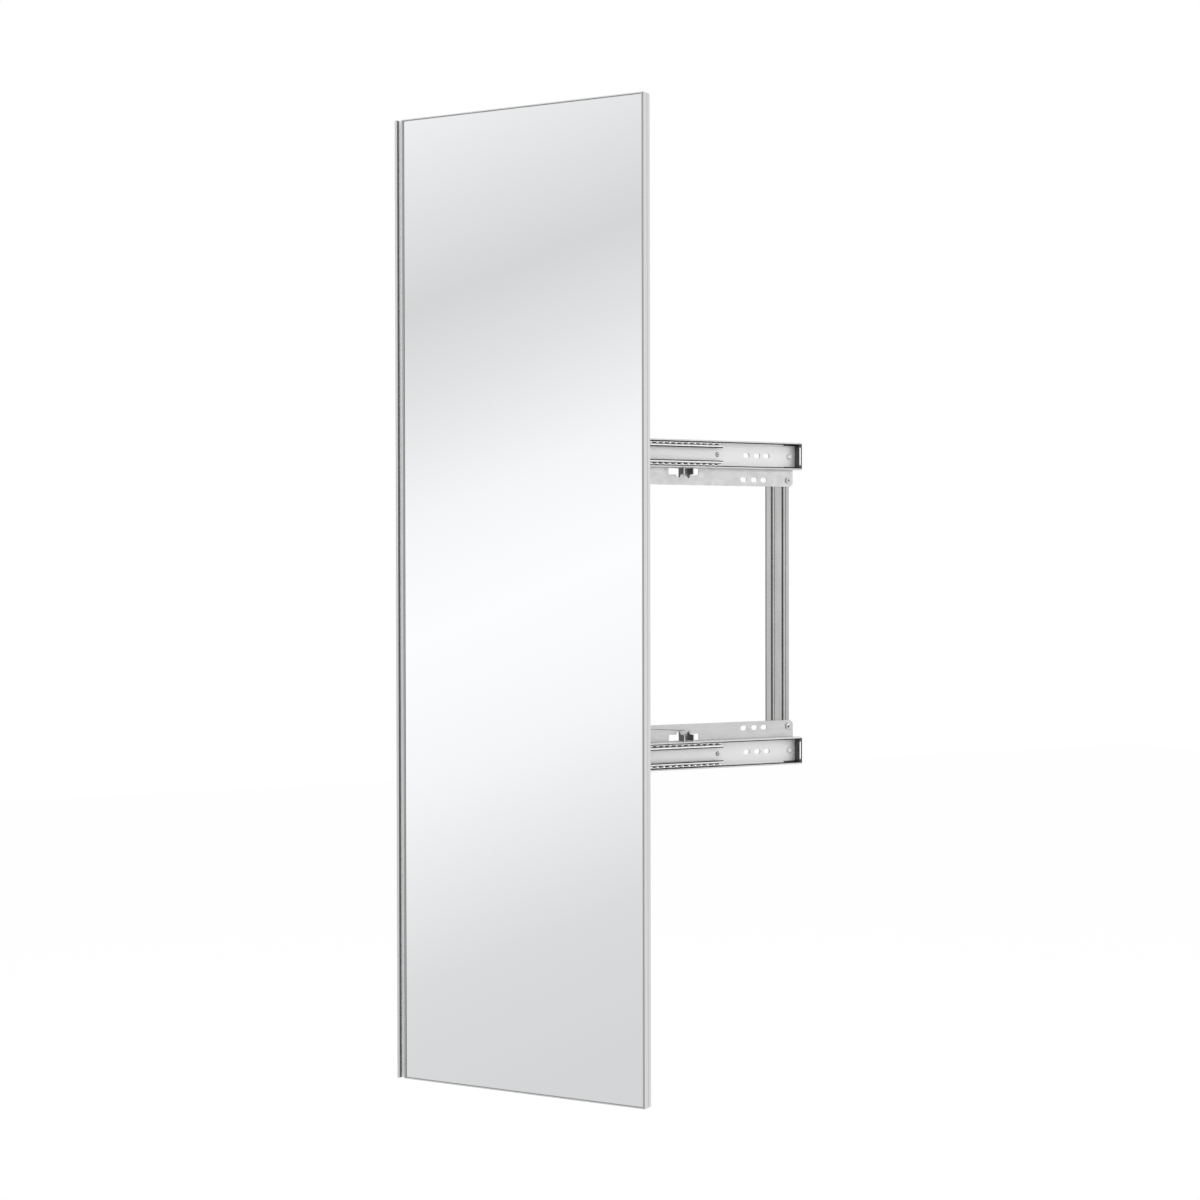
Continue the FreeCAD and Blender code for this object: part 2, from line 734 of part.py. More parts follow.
def make_arm(level, side):
    """A bar riveted inside the inner member, with an eye that holds the pivot post."""
    body = new_body(level + "_arm")
    bar = new_sketch(body, "bar", "XY_Plane", "0 - arm_height / 2")
    outline(bar, [
        (PIVOT_X, ARM_FRONT), (INNER_FRONT + " + arm_reach", ARM_FRONT),
        (INNER_FRONT + " + arm_reach", ARM_BACK), (PIVOT_X, ARM_BACK),
    ])
    pad(body, bar, "arm_height")
    eye = new_sketch(body, "eye", "XY_Plane", "0 - arm_height / 2")
    circle(eye, PIVOT_X, PIVOT_Y, "eye_rad")
    pad(body, eye, "arm_height")
    bore = new_sketch(body, "bore", "XY_Plane", "0 - arm_height")
    circle(bore, PIVOT_X, PIVOT_Y, "post_rad + pivot_fit")
    cut(body, bore, "2 * arm_height")
    holes = new_sketch(body, "holes", "XZ_Plane", "0 - " + ARM_BACK + " - 1")
    for at in ("arm_rivet_near", "arm_rivet_far"):
        circle(holes, INNER_FRONT + " + " + at, "0", "rivet_rad + rivet_gap")
    cut(body, holes, "arm_thick + 2")
    return keep(place(body, 0, 0, "%d * %s" % (side, SLIDE_Z)))


def make_arm_rivets():
    rivets = []
    for level, side in LEVELS:
        high = "%d * %s" % (side, SLIDE_Z)
        for end, reach in (("near", "arm_rivet_near"), ("far", "arm_rivet_far")):
            name = "arm_rivet_%s_%s" % (level, end)
            at = INNER_FRONT + " + " + reach
            face = slide_y("slide_depth")
            head = rod(name + "_head", "rivet_head_rad", "arm_rivet_head", at, face, high, "-y")
            shank = rod(name + "_shank", "rivet_rad", "arm_thick + member_wall", at, face, high, "y")
            tail = rod(name + "_tail", "rivet_head_rad", "arm_rivet_head", at, ARM_BACK, high, "y")
            rivets.append(fuse(name, [head, shank, tail]))
    return keep(group("arm_rivets", rivets))


POST_TOP = "(" + SLIDE_Z + " + arm_height / 2)"


def make_post():
    """The pivot post runs through both eyes and is tapped at each end."""
    body = new_body("pivot_post")
    round_bar = new_sketch(body, "bar", "XY_Plane", "0 - " + POST_TOP)
    circle(round_bar, PIVOT_X, PIVOT_Y, "post_rad")
    pad(body, round_bar, "2 * " + POST_TOP)
    for level, base in (("upper", POST_TOP + " - cap_screw_long - 1"),
                        ("lower", "0 - " + POST_TOP)):
        tapped = new_sketch(body, level + "_hole", "XY_Plane", base)
        circle(tapped, PIVOT_X, PIVOT_Y, "cap_screw_rad + rivet_gap")
        cut(body, tapped, "cap_screw_long + 1")
    return keep(body)


def make_post_screws():
    screws = []
    for level, side in LEVELS:
        name = "post_screw_" + level
        face = "%d * %s" % (side, POST_TOP)
        low_head = face if side == 1 else face + " - cap_head_thick"
        low_shank = face + " - cap_screw_long" if side == 1 else face
        head = rod(name + "_head", "cap_head_rad", "cap_head_thick", PIVOT_X, PIVOT_Y, low_head)
        shank = rod(name + "_shank", "cap_screw_rad", "cap_screw_long", PIVOT_X, PIVOT_Y, low_shank)
        screws.append(fuse(name, [head, shank]))
    return keep(group("post_screws", screws))


EYE_IN = "(" + SLIDE_Z + " - arm_height / 2)"


def make_washers():
    """Thrust washers between each eye and the hinge barrel beside it."""
    washers = []
    for level, side in LEVELS:
        name = "thrust_washer_" + level
        low = EYE_IN + " - washer_thick" if side == 1 else "0 - " + EYE_IN
        disc = rod(name + "_disc", "washer_rad", "washer_thick", PIVOT_X, PIVOT_Y, low)
        bore = rod(name + "_bore", "post_rad + cage_gap", "washer_thick + 2", PIVOT_X, PIVOT_Y, low + " - 1")
        washers.append(take_away(name, disc, bore))
    return keep(group("thrust_washers", washers))


# ---------------------------------------------------------------- mirror, drawn about the pivot
BARREL_OUT = "(" + EYE_IN + " - washer_thick)"
BARREL_IN = "(" + BARREL_OUT + " - knuckle_height)"
LEAF_Z = "((" + BARREL_OUT + " + " + BARREL_IN + ") / 2)"
LEAF_BACK = "(" + FLANGE_Y + " + leaf_thick)"
LEAF_SCREWS = [
    ("leaf_screw_inset - leaf_ahead", way) for way in (1, -1)
] + [("leaf_behind - leaf_screw_inset", way) for way in (1, -1)]
LEAF_SCREW_RISE = "(knuckle_height / 2 - leaf_screw_inset)"


def make_bracket(level, side):
    """A hinge leaf on the backing panel, with the barrel that turns on the pivot post."""
    body = new_body(level + "_hinge_bracket")
    low = BARREL_IN if side == 1 else "0 - " + BARREL_OUT
    leaf = new_sketch(body, "leaf", "XY_Plane", low)
    outline(leaf, [("0 - leaf_ahead", FLANGE_Y), ("leaf_behind", FLANGE_Y),
                   ("leaf_behind", LEAF_BACK), ("0 - leaf_ahead", LEAF_BACK)])
    pad(body, leaf, "knuckle_height")
    barrel = new_sketch(body, "barrel", "XY_Plane", low)
    circle(barrel, "0", "0", "knuckle_rad")
    pad(body, barrel, "knuckle_height")
    bore = new_sketch(body, "bore", "XY_Plane", low + " - 1")
    circle(bore, "0", "0", "bush_rad + pivot_fit")
    cut(body, bore, "knuckle_height + 2")
    holes = new_sketch(body, "holes", "XZ_Plane", "0 - " + LEAF_BACK + " - 1")
    for across, way in LEAF_SCREWS:
        rise = "%d * %s + %d * %s" % (side, LEAF_Z, way, LEAF_SCREW_RISE)
        circle(holes, across, rise, "leaf_screw_rad + rivet_gap")
    cut(body, holes, "leaf_thick + 2")
    return keep(hang_on_pivot(body))


def make_hinge_screws():
    screws = []
    for level, side in LEVELS:
        for number, (across, way) in enumerate(LEAF_SCREWS):
            name = "hinge_screw_%s_%d" % (level, number)
            rise = "%d * %s + %d * %s" % (side, LEAF_Z, way, LEAF_SCREW_RISE)
            head = rod(name + "_head", "leaf_head_rad", "leaf_head_thick", across, LEAF_BACK, rise, "y")
            long = "leaf_thick + leaf_screw_long"
            shank = rod(name + "_shank", "leaf_screw_rad", long, across, LEAF_BACK, rise, "-y")
            screws.append(fuse(name, [head, shank]))
    return keep(hang_on_pivot(group("hinge_screws", screws)))


def make_bushes():
    bushes = []
    for level, side in LEVELS:
        name = "hinge_bush_" + level
        low = BARREL_IN if side == 1 else "0 - " + BARREL_OUT
        sleeve = rod(name + "_sleeve", "bush_rad", "knuckle_height", "0", "0", low)
        bore = rod(name + "_bore", "post_rad + pivot_fit", "knuckle_height + 2", "0", "0", low + " - 1")
        bushes.append(take_away(name, sleeve, bore))
    return keep(hang_on_pivot(group("hinge_bushes", bushes)))


GLASS_RIGHT = "(" + WALL_RIGHT + " - seal_wide)"
GLASS_LOW = "(" + MIRROR_LOW + " + edge_wall + seal_wide)"
GLASS_HIGH = "(" + MIRROR_HIGH + " - edge_wall - seal_wide)"
WALL_LOW = "(" + MIRROR_LOW + " + edge_wall)"
WALL_HIGH = "(" + MIRROR_HIGH + " - edge_wall)"


def make_glass():
    """The glass, with its front edge ground to a narrow bevel."""
    slab = box("glass_slab", (GLASS_LEFT, GLASS_RIGHT), (FRONT + " + bevel_deep", RIB_Y),
               (GLASS_LOW, GLASS_HIGH))
    bevel = doc.addObject("Part::Wedge", "glass_bevel")
    bind(bevel, Xmin=GLASS_LEFT + " + bevel_wide", Xmax=GLASS_RIGHT + " - bevel_wide",
         Zmin=GLASS_LOW + " + bevel_wide", Zmax=GLASS_HIGH + " - bevel_wide",
         X2min=GLASS_LEFT, X2max=GLASS_RIGHT, Z2min=GLASS_LOW, Z2max=GLASS_HIGH,
         Ymin=FRONT, Ymax=FRONT + " + bevel_deep")
    return keep(hang_on_pivot(fuse("mirror_glass", [slab, bevel])))


def make_seal():
    outside = box("seal_outside", (WALL_LEFT, WALL_RIGHT), (FRONT + " + seal_set", RIB_Y),
                  (WALL_LOW, WALL_HIGH))
    inside = box("seal_inside", (GLASS_LEFT, GLASS_RIGHT), (FRONT, BACK), (GLASS_LOW, GLASS_HIGH))
    return keep(hang_on_pivot(take_away("glass_seal", outside, inside)))


KEY_PLACES = [
    (across, up, wall, edge)
    for across, wall in ((1, WALL_LEFT), (-1, WALL_RIGHT))
    for up, edge in ((1, WALL_LOW), (-1, WALL_HIGH))
]
END_SCREW_Y = "(" + PANEL_Y + " + end_screw_depth)"


def span(start, way, length):
    """The low and high ends of a stretch that starts at a wall and runs inwards."""
    end = "%s + %d * (%s)" % (start, way, length)
    return (start, end) if way == 1 else (end, start)


def make_panel():
    """The backing board, cut away at its corners for the keys and drilled for the hinge screws."""
    board = box("panel_board", (WALL_LEFT + " + panel_gap", WALL_RIGHT + " - panel_gap"),
                (PANEL_Y, FLANGE_Y), (WALL_LOW + " + panel_gap", WALL_HIGH + " - panel_gap"))
    cuts = []
    for number, (across, up, wall, edge) in enumerate(KEY_PLACES):
        cuts.append(box("panel_corner_%d" % number, span(wall, across, "key_long + panel_gap"),
                        (PANEL_Y + " - 1", BACK), span(edge, up, "key_long + panel_gap")))
    for level, side in LEVELS:
        for number, (across, way) in enumerate(LEAF_SCREWS):
            name = "panel_hole_%s_%d" % (level, number)
            rise = "%d * %s + %d * %s" % (side, LEAF_Z, way, LEAF_SCREW_RISE)
            cuts.append(rod(name, "leaf_screw_rad + rivet_gap", "leaf_screw_long + 1.2",
                            across, FLANGE_Y + " + 1", rise, "-y"))
    return keep(hang_on_pivot(take_away("backing_panel", board, fuse("panel_cuts", cuts))))


def key_screw_rods(number, across, up, wall, edge, radius, spare):
    """The two screw shanks of one corner: one through the side profile, one through the end."""
    side_x = "%s + %d * key_screw_inset" % (wall, across)
    high = "%s + %d * key_screw_inset" % (edge, up)
    title = "key_%s_%d" % ("hole" if spare != "0" else "shank", number)
    back = rod(title + "_back", radius, "flange_thick + key_screw_long + %s" % spare,
               side_x, BACK, high, "-y")
    outer = "%s - %d * edge_wall" % (edge, up)
    long = "edge_wall + key_screw_long + %s" % spare
    end_x = "%s + %d * (key_long - key_screw_inset)" % (wall, across)
    start = outer if up == 1 else outer + " - (%s)" % long
    end = rod(title + "_end", radius, long, end_x, END_SCREW_Y, start)
    return back, end


def make_keys():
    keys = []
    for number, (across, up, wall, edge) in enumerate(KEY_PLACES):
        block = box("key_block_%d" % number, span(wall, across, "key_long"),
                    (PANEL_Y, FLANGE_Y), span(edge, up, "key_long"))
        drills = key_screw_rods(number, across, up, wall, edge, "key_screw_rad + rivet_gap", "0.5")
        keys.append(take_away("corner_key_%d" % number, block, fuse("key_drill_%d" % number, drills)))
    return keep(hang_on_pivot(group("corner_keys", keys)))


def make_corner_screws():
    screws = []
    for number, (across, up, wall, edge) in enumerate(KEY_PLACES):
        back, end = key_screw_rods(number, across, up, wall, edge, "key_screw_rad", "0")
        side_x = "%s + %d * key_screw_inset" % (wall, across)
        high = "%s + %d * key_screw_inset" % (edge, up)
        cap = rod("key_cap_back_%d" % number, "key_head_rad", "key_head_thick", side_x, BACK, high, "y")
        screws.append(fuse("corner_screw_back_%d" % number, [cap, back]))
        outer = "%s - %d * edge_wall" % (edge, up)
        start = outer + " - key_head_thick" if up == 1 else outer
        end_x = "%s + %d * (key_long - key_screw_inset)" % (wall, across)
        cap = rod("key_cap_end_%d" % number, "key_head_rad", "key_head_thick", end_x, END_SCREW_Y, start)
        screws.append(fuse("corner_screw_end_%d" % number, [cap, end]))
    return keep(hang_on_pivot(group("corner_screws", screws)))


def finish_side_profile(body, wall, across):
    """Trims the rib and flange where the end profiles butt in, and drills the flange for screws."""
    trim = new_sketch(body, "trim", "XZ_Plane", "0 - " + BACK + " - 1")
    for edge, up in ((WALL_LOW, -1), (WALL_HIGH, 1)):
        tip = "(%s + %d * (edge_wall + 1))" % (edge, up)
        side = "(%s + %d * (flange_long + 1))" % (wall, across)
        outline(trim, [(wall, edge), (side, edge), (side, tip), (wall, tip)])
    cut(body, trim, "mirror_depth + 2")
    holes = new_sketch(body, "holes", "XZ_Plane", "0 - " + BACK + " - 1")
    for edge, up in ((WALL_LOW, 1), (WALL_HIGH, -1)):
        circle(holes, "%s + %d * key_screw_inset" % (wall, across),
               "%s + %d * key_screw_inset" % (edge, up), "key_screw_rad + rivet_gap")
    cut(body, holes, "flange_thick + 2")


def make_rear_profile():
    """The plain edge profile: a wall, a rib behind the glass, and a flange behind the panel."""
    body = new_body("rear_edge_profile")
    section = new_sketch(body, "section", "XY_Plane", MIRROR_LOW)
    rib = "(" + WALL_RIGHT + " - rib_long)"
    flange = "(" + WALL_RIGHT + " - flange_long)"
    line = "(" + MIRROR_RIGHT + " - side_line_deep)"
    line_y = "(" + FRONT + " + side_line_at)"
    outline(section, [
        (MIRROR_RIGHT, FRONT), (MIRROR_RIGHT, line_y), (line, line_y),
        (line, line_y + " + side_line_wide"), (MIRROR_RIGHT, line_y + " + side_line_wide"),
        (MIRROR_RIGHT, BACK), (flange, BACK), (flange, FLANGE_Y), (WALL_RIGHT, FLANGE_Y),
        (WALL_RIGHT, PANEL_Y), (rib, PANEL_Y), (rib, RIB_Y), (WALL_RIGHT, RIB_Y), (WALL_RIGHT, FRONT),
    ])
    pad(body, section, "mirror_height")
    finish_side_profile(body, WALL_RIGHT, -1)
    return keep(hang_on_pivot(body))


def make_handle_profile():
    """The leading edge profile, with a finger groove along its front and a chamber behind it."""
    body = new_body("handle_profile")
    section = new_sketch(body, "section", "XY_Plane", MIRROR_LOW)
    rib = "(" + WALL_LEFT + " + rib_long)"
    flange = "(" + WALL_LEFT + " + flange_long)"
    lip = "(" + MIRROR_LEFT + " + pull_lip)"
    wall = "(" + WALL_LEFT + " - pull_wall)"
    floor = "(" + FRONT + " + pull_deep)"
    outline(section, [
        (MIRROR_LEFT, FRONT), (lip, FRONT), (lip, floor), (wall, floor), (wall, FRONT),
        (WALL_LEFT, FRONT), (WALL_LEFT, RIB_Y), (rib, RIB_Y), (rib, PANEL_Y), (WALL_LEFT, PANEL_Y),
        (WALL_LEFT, FLANGE_Y), (flange, FLANGE_Y), (flange, BACK), (MIRROR_LEFT, BACK),
    ])
    chamber_left = "(" + MIRROR_LEFT + " + edge_wall)"
    outline(section, [
        (chamber_left, floor + " + edge_wall"), (wall, floor + " + edge_wall"),
        (wall, FLANGE_Y), (chamber_left, FLANGE_Y),
    ])
    pad(body, section, "mirror_height")
    finish_side_profile(body, WALL_LEFT, 1)
    return keep(hang_on_pivot(body))


def make_end_profile(name, up):
    """The top or bottom profile, cut short of the side profiles' ribs and flanges."""
    edge = WALL_HIGH if up == 1 else WALL_LOW
    wall = box(name + "_wall", (WALL_LEFT, WALL_RIGHT), (FRONT, BACK), span(edge, up, "edge_wall"))
    rib = box(name + "_rib", (WALL_LEFT + " + rib_long", WALL_RIGHT + " - rib_long"),
              (RIB_Y, PANEL_Y), span(edge, -up, "rib_long"))
    flange = box(name + "_flange", (WALL_LEFT + " + flange_long", WALL_RIGHT + " - flange_long"),
                 (FLANGE_Y, BACK), span(edge, -up, "flange_long"))
    solid = fuse(name + "_solid", [wall, rib, flange])
    low = edge + (" - 1" if up == 1 else " - edge_wall - 1")
    holes = []
    for end, (across, start) in enumerate(((1, WALL_LEFT), (-1, WALL_RIGHT))):
        at = "%s + %d * (key_long - key_screw_inset)" % (start, across)
        holes.append(rod("%s_hole_%d" % (name, end), "key_screw_rad + rivet_gap",
                         "edge_wall + 2", at, END_SCREW_Y, low))
    return keep(hang_on_pivot(take_away(name, solid, fuse(name + "_holes", holes))))


# ---------------------------------------------------------------- build
for level, side in LEVELS:
    make_plate(level, side)
for end, across in ENDS:
    make_upright(end, across)
make_frame_screws()
for level, side in LEVELS:
    make_outer(level, side)
    make_middle(level, side)
    make_inner(level, side)
    for stage_name in STAGES:
        make_cage(stage_name, level, side)
    make_bumper(level, side)
    make_arm(level, side)
    make_bracket(level, side)
for stage_name in STAGES:
    make_balls(stage_name)
make_slide_rivets()
make_stop_studs()
make_arm_rivets()
make_post()
make_post_screws()
make_washers()
make_bushes()
make_hinge_screws()
make_glass()
make_seal()
make_panel()
make_keys()
make_corner_screws()
make_rear_profile()
make_handle_profile()
make_end_profile("top_profile", 1)
make_end_profile("bottom_profile", -1)

doc.recompute()

for thing in doc.Objects:
    if {"Invalid", "Error"} & set(thing.State):
        raise RuntimeError("%s did not compute: %s" % (thing.Label, thing.State))

os.makedirs("parts", exist_ok=True)
for part in parts:
    if part.Shape.isNull() or not part.Shape.isValid():
        raise RuntimeError(part.Label + " has no valid shape")
    part.Shape.exportStep("parts/%s.step" % part.Label)
print(len(parts), "parts written")
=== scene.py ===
import json
import math

import bmesh
import bpy
from mathutils import Matrix, Vector


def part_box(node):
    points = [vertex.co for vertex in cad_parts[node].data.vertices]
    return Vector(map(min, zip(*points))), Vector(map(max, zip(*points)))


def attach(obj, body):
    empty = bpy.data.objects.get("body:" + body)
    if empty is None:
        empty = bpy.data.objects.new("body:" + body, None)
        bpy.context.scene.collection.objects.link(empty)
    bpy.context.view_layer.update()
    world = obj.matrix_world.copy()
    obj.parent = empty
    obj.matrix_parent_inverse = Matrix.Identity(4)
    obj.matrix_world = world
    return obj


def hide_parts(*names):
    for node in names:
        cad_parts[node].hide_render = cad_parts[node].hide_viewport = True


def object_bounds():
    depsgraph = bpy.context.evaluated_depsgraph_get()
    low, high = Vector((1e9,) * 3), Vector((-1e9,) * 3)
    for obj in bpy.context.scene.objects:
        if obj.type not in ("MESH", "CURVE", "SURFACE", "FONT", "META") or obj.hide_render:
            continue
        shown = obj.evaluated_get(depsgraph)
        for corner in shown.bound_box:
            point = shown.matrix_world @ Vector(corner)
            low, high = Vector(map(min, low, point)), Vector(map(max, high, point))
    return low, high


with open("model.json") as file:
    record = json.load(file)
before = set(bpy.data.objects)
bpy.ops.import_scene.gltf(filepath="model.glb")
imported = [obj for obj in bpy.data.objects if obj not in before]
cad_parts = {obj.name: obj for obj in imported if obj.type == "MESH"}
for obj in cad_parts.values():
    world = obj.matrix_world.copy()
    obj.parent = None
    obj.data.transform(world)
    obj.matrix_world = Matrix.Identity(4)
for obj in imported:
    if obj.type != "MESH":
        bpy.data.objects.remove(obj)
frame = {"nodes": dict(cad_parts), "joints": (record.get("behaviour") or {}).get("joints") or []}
cadBox = [list(corner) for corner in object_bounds()]
nodes = frame["nodes"]
mm = 0.001
levels = (("upper", 1), ("lower", -1))
print("frame loaded:", len(nodes), "nodes")


# a shader socket that can be used like a number
class Sock:
    def __init__(self, tree, link):
        self.tree = tree
        self.link = link

    def maths(self, operation, other, swap=False):
        node = self.tree.nodes.new("ShaderNodeMath")
        node.operation = operation
        first, second = (other, self) if swap else (self, other)
        plug(self.tree, node.inputs[0], first)
        plug(self.tree, node.inputs[1], second)
        return Sock(self.tree, node.outputs[0])

    def __add__(self, other):
        return self.maths("ADD", other)

    __radd__ = __add__

    def __sub__(self, other):
        return self.maths("SUBTRACT", other)

    def __rsub__(self, other):
        return self.maths("SUBTRACT", other, True)

    def __mul__(self, other):
        return self.maths("MULTIPLY", other)

    __rmul__ = __mul__

    def __truediv__(self, other):
        return self.maths("DIVIDE", other)

    def __gt__(self, other):
        return self.maths("GREATER_THAN", other)


def plug(tree, socket, given):
    if isinstance(given, Sock):
        tree.links.new(given.link, socket)
    else:
        socket.default_value = given


class Shader:
    def __init__(self, holder):
        holder.use_nodes = True
        self.tree = holder.node_tree
        self.tree.nodes.clear()

    # a node's settings come first, then what goes into its sockets, by their order or their names
    def node(self, kind, settings=None, *inOrder, **sockets):
        node = self.tree.nodes.new("ShaderNode" + kind)
        for name, setting in (settings or {}).items():
            if name == "stops":
                self.setStops(node.color_ramp, setting)
            else:
                setattr(node, name, setting)
        usable = [socket for socket in node.inputs if socket.enabled]
        for socket, given in zip(usable, inOrder):
            plug(self.tree, socket, given)
        for name, given in sockets.items():
            title = name.replace("_", " ")
            plug(self.tree, next(socket for socket in usable if socket.name == title), given)
        return {out.name: Sock(self.tree, out) for out in node.outputs if out.enabled}

    def setStops(self, ramp, stops):
        while len(ramp.elements) > 1:
            ramp.elements.remove(ramp.elements[-1])
        for index, (place, colour) in enumerate(stops):
            mark = ramp.elements[0] if index == 0 else ramp.elements.new(place)
            mark.position = place
            mark.color = (*colour[:3], 1)

    def noise(self, coords, scale, stretch=(1, 1, 1), detail=3, roughness=0.5):
        moved = self.node("Mapping", {"vector_type": "POINT"}, Vector=coords, Scale=stretch)["Vector"]
        return self.node("TexNoise", {"noise_dimensions": "3D"}, Vector=moved, Scale=scale,
                         Detail=detail, Roughness=roughness)["Fac"]

    def mix(self, amount, first, second):
        return self.node("Mix", {"data_type": "RGBA"}, amount, first, second)["Result"]

    # 0 below the first limit, 1 above the second, with a soft change between
    def ramp(self, value, start, end):
        return self.node("MapRange", {"interpolation_type": "SMOOTHSTEP"}, Value=value,
                         From_Min=start, From_Max=end)["Result"]

    def scaled(self, colour, amount):
        colour = colour if isinstance(colour, Sock) else colour[:3]
        return self.node("VectorMath", {"operation": "SCALE"}, Vector=colour, Scale=amount)["Vector"]

    def bump(self, strength, depth, height):
        return self.node("Bump", None, Strength=strength, Distance=depth, Height=height)["Normal"]

    def skin(self, **sockets):
        self.output(self.node("BsdfPrincipled", None, **sockets)["BSDF"])

    def output(self, surface):
        kind = "OutputWorld" if self.tree.id_data.id_type == "WORLD" else "OutputMaterial"
        self.node(kind, None, Surface=surface)


def newMaterial(name):
    material = bpy.data.materials.new(name)
    return material, Shader(material)


def newFinish():
    material, sh = newMaterial("finish")
    return material, sh, sh.node("TexCoord")["Object"]


def tone(grey, warm=0.0):
    return (grey * (1 + warm), grey, grey * (1 - warm), 1)


# Grain runs along one axis: a small number makes long streaks along that axis.
alongX, alongZ, allRound = (0.03, 1, 1), (1, 1, 0.03), (1, 1, 1)


# rolled, drawn or machined metal: fine grain, broad patches, and a few long scratches
def metal(grey, rough, grain, stretch, depth, warm=0.0, spread=0.05, patch=0.04, scratch=0.0, metallic=1.0):
    material, sh, where = newFinish()
    fine = sh.noise(where, grain, stretch, 4, 0.6)
    broad = sh.noise(where, 18, allRound, 3, 0.55)
    shade = (fine - 0.5) * spread + (broad - 0.5) * patch + 1
    gloss = (fine - 0.5) * (rough * 0.5) + (broad - 0.5) * (rough * 0.3) + rough
    relief = fine
    if scratch:
        thin = sh.noise(where, grain * 2.4, tuple(value * 0.5 for value in stretch), 1, 0.4)
        marks = sh.ramp(thin, 0.66, 0.72)
        shade = shade - marks * scratch
        relief = fine - marks * 0.5
    sh.skin(Base_Color=sh.scaled(tone(grey, warm), shade), Metallic=metallic, Roughness=gloss,
            Normal=sh.bump(0.35, depth, relief))
    return material


# zinc plate: soft crystal flakes over the rolled grain
def zincPlate(grey, rough):
    material, sh, where = newFinish()
    grain = sh.noise(where, 260, alongX, 4, 0.6)
    flake = sh.node("TexVoronoi", {"feature": "F1"}, Vector=where, Scale=160.0)["Color"]
    facet = sh.node("SeparateColor", None, flake)["Red"]
    broad = sh.noise(where, 14, allRound, 3, 0.55)
    shade = (grain - 0.5) * 0.05 + (facet - 0.5) * 0.03 + (broad - 0.5) * 0.05 + 1
    tint = sh.mix(broad, tone(grey, 0.006), tone(grey, -0.006))
    gloss = (facet - 0.5) * 0.08 + (grain - 0.5) * 0.12 + rough
    sh.skin(Base_Color=sh.scaled(tint, shade), Metallic=1.0, Roughness=gloss,
            Normal=sh.bump(0.3, 0.00005, grain + facet * 0.3))
    return material


# moulded plastic and rubber: a fine bite in the surface and a faint bloom
def plastic(colour, rough, grain, depth, coat=0.0):
    material, sh, where = newFinish()
    fine = sh.noise(where, grain, allRound, 4, 0.6)
    broad = sh.noise(where, 30, allRound, 2, 0.5)
    shade = (fine - 0.5) * 0.12 + (broad - 0.5) * 0.1 + 1
    gloss = (broad - 0.5) * 0.12 + rough
    sh.skin(Base_Color=sh.scaled(colour, shade), Roughness=gloss, Coat_Weight=coat, Coat_Roughness=0.08,
            Normal=sh.bump(0.3, depth, fine))
    return material


# silvered glass: nearly clean, with a breath of haze and a few specks of dust
def silvered():
    material, sh, where = newFinish()
    smear = sh.noise(where, 5, (1, 1, 0.4), 4, 0.55)
    dust = sh.noise(where, 900, allRound, 1, 0.5)
    haze = (smear - 0.55) * 0.02 + (dust > 0.78) * 0.03 + 0.012
    sh.skin(Base_Color=(0.945, 0.955, 0.965, 1), Metallic=1.0, Roughness=haze)
    return material


# backing board: a foil face with a fine fleck
def foil():
    material, sh, where = newFinish()
    flecks = sh.noise(where, 420, allRound, 4, 0.7)
    broad = sh.noise(where, 6, allRound, 3, 0.5)
    amount = (flecks - 0.5) * 0.5 + (broad - 0.5) * 0.3 + 0.5
    colour = sh.mix(amount, (0.50, 0.49, 0.47, 1), (0.60, 0.59, 0.57, 1))
    sh.skin(Base_Color=colour, Roughness=0.55, Normal=sh.bump(0.25, 0.0001, flecks))
    return material


# sawn board edge: pressed chips
def chipBoard():
    material, sh, where = newFinish()
    chips = sh.noise(where, 260, (1, 1, 0.4), 5, 0.7)
    colour = sh.mix(chips, (0.36, 0.27, 0.17, 1), (0.58, 0.46, 0.31, 1))
    sh.skin(Base_Color=colour, Roughness=0.8, Normal=sh.bump(0.6, 0.0003, chips))
    return material


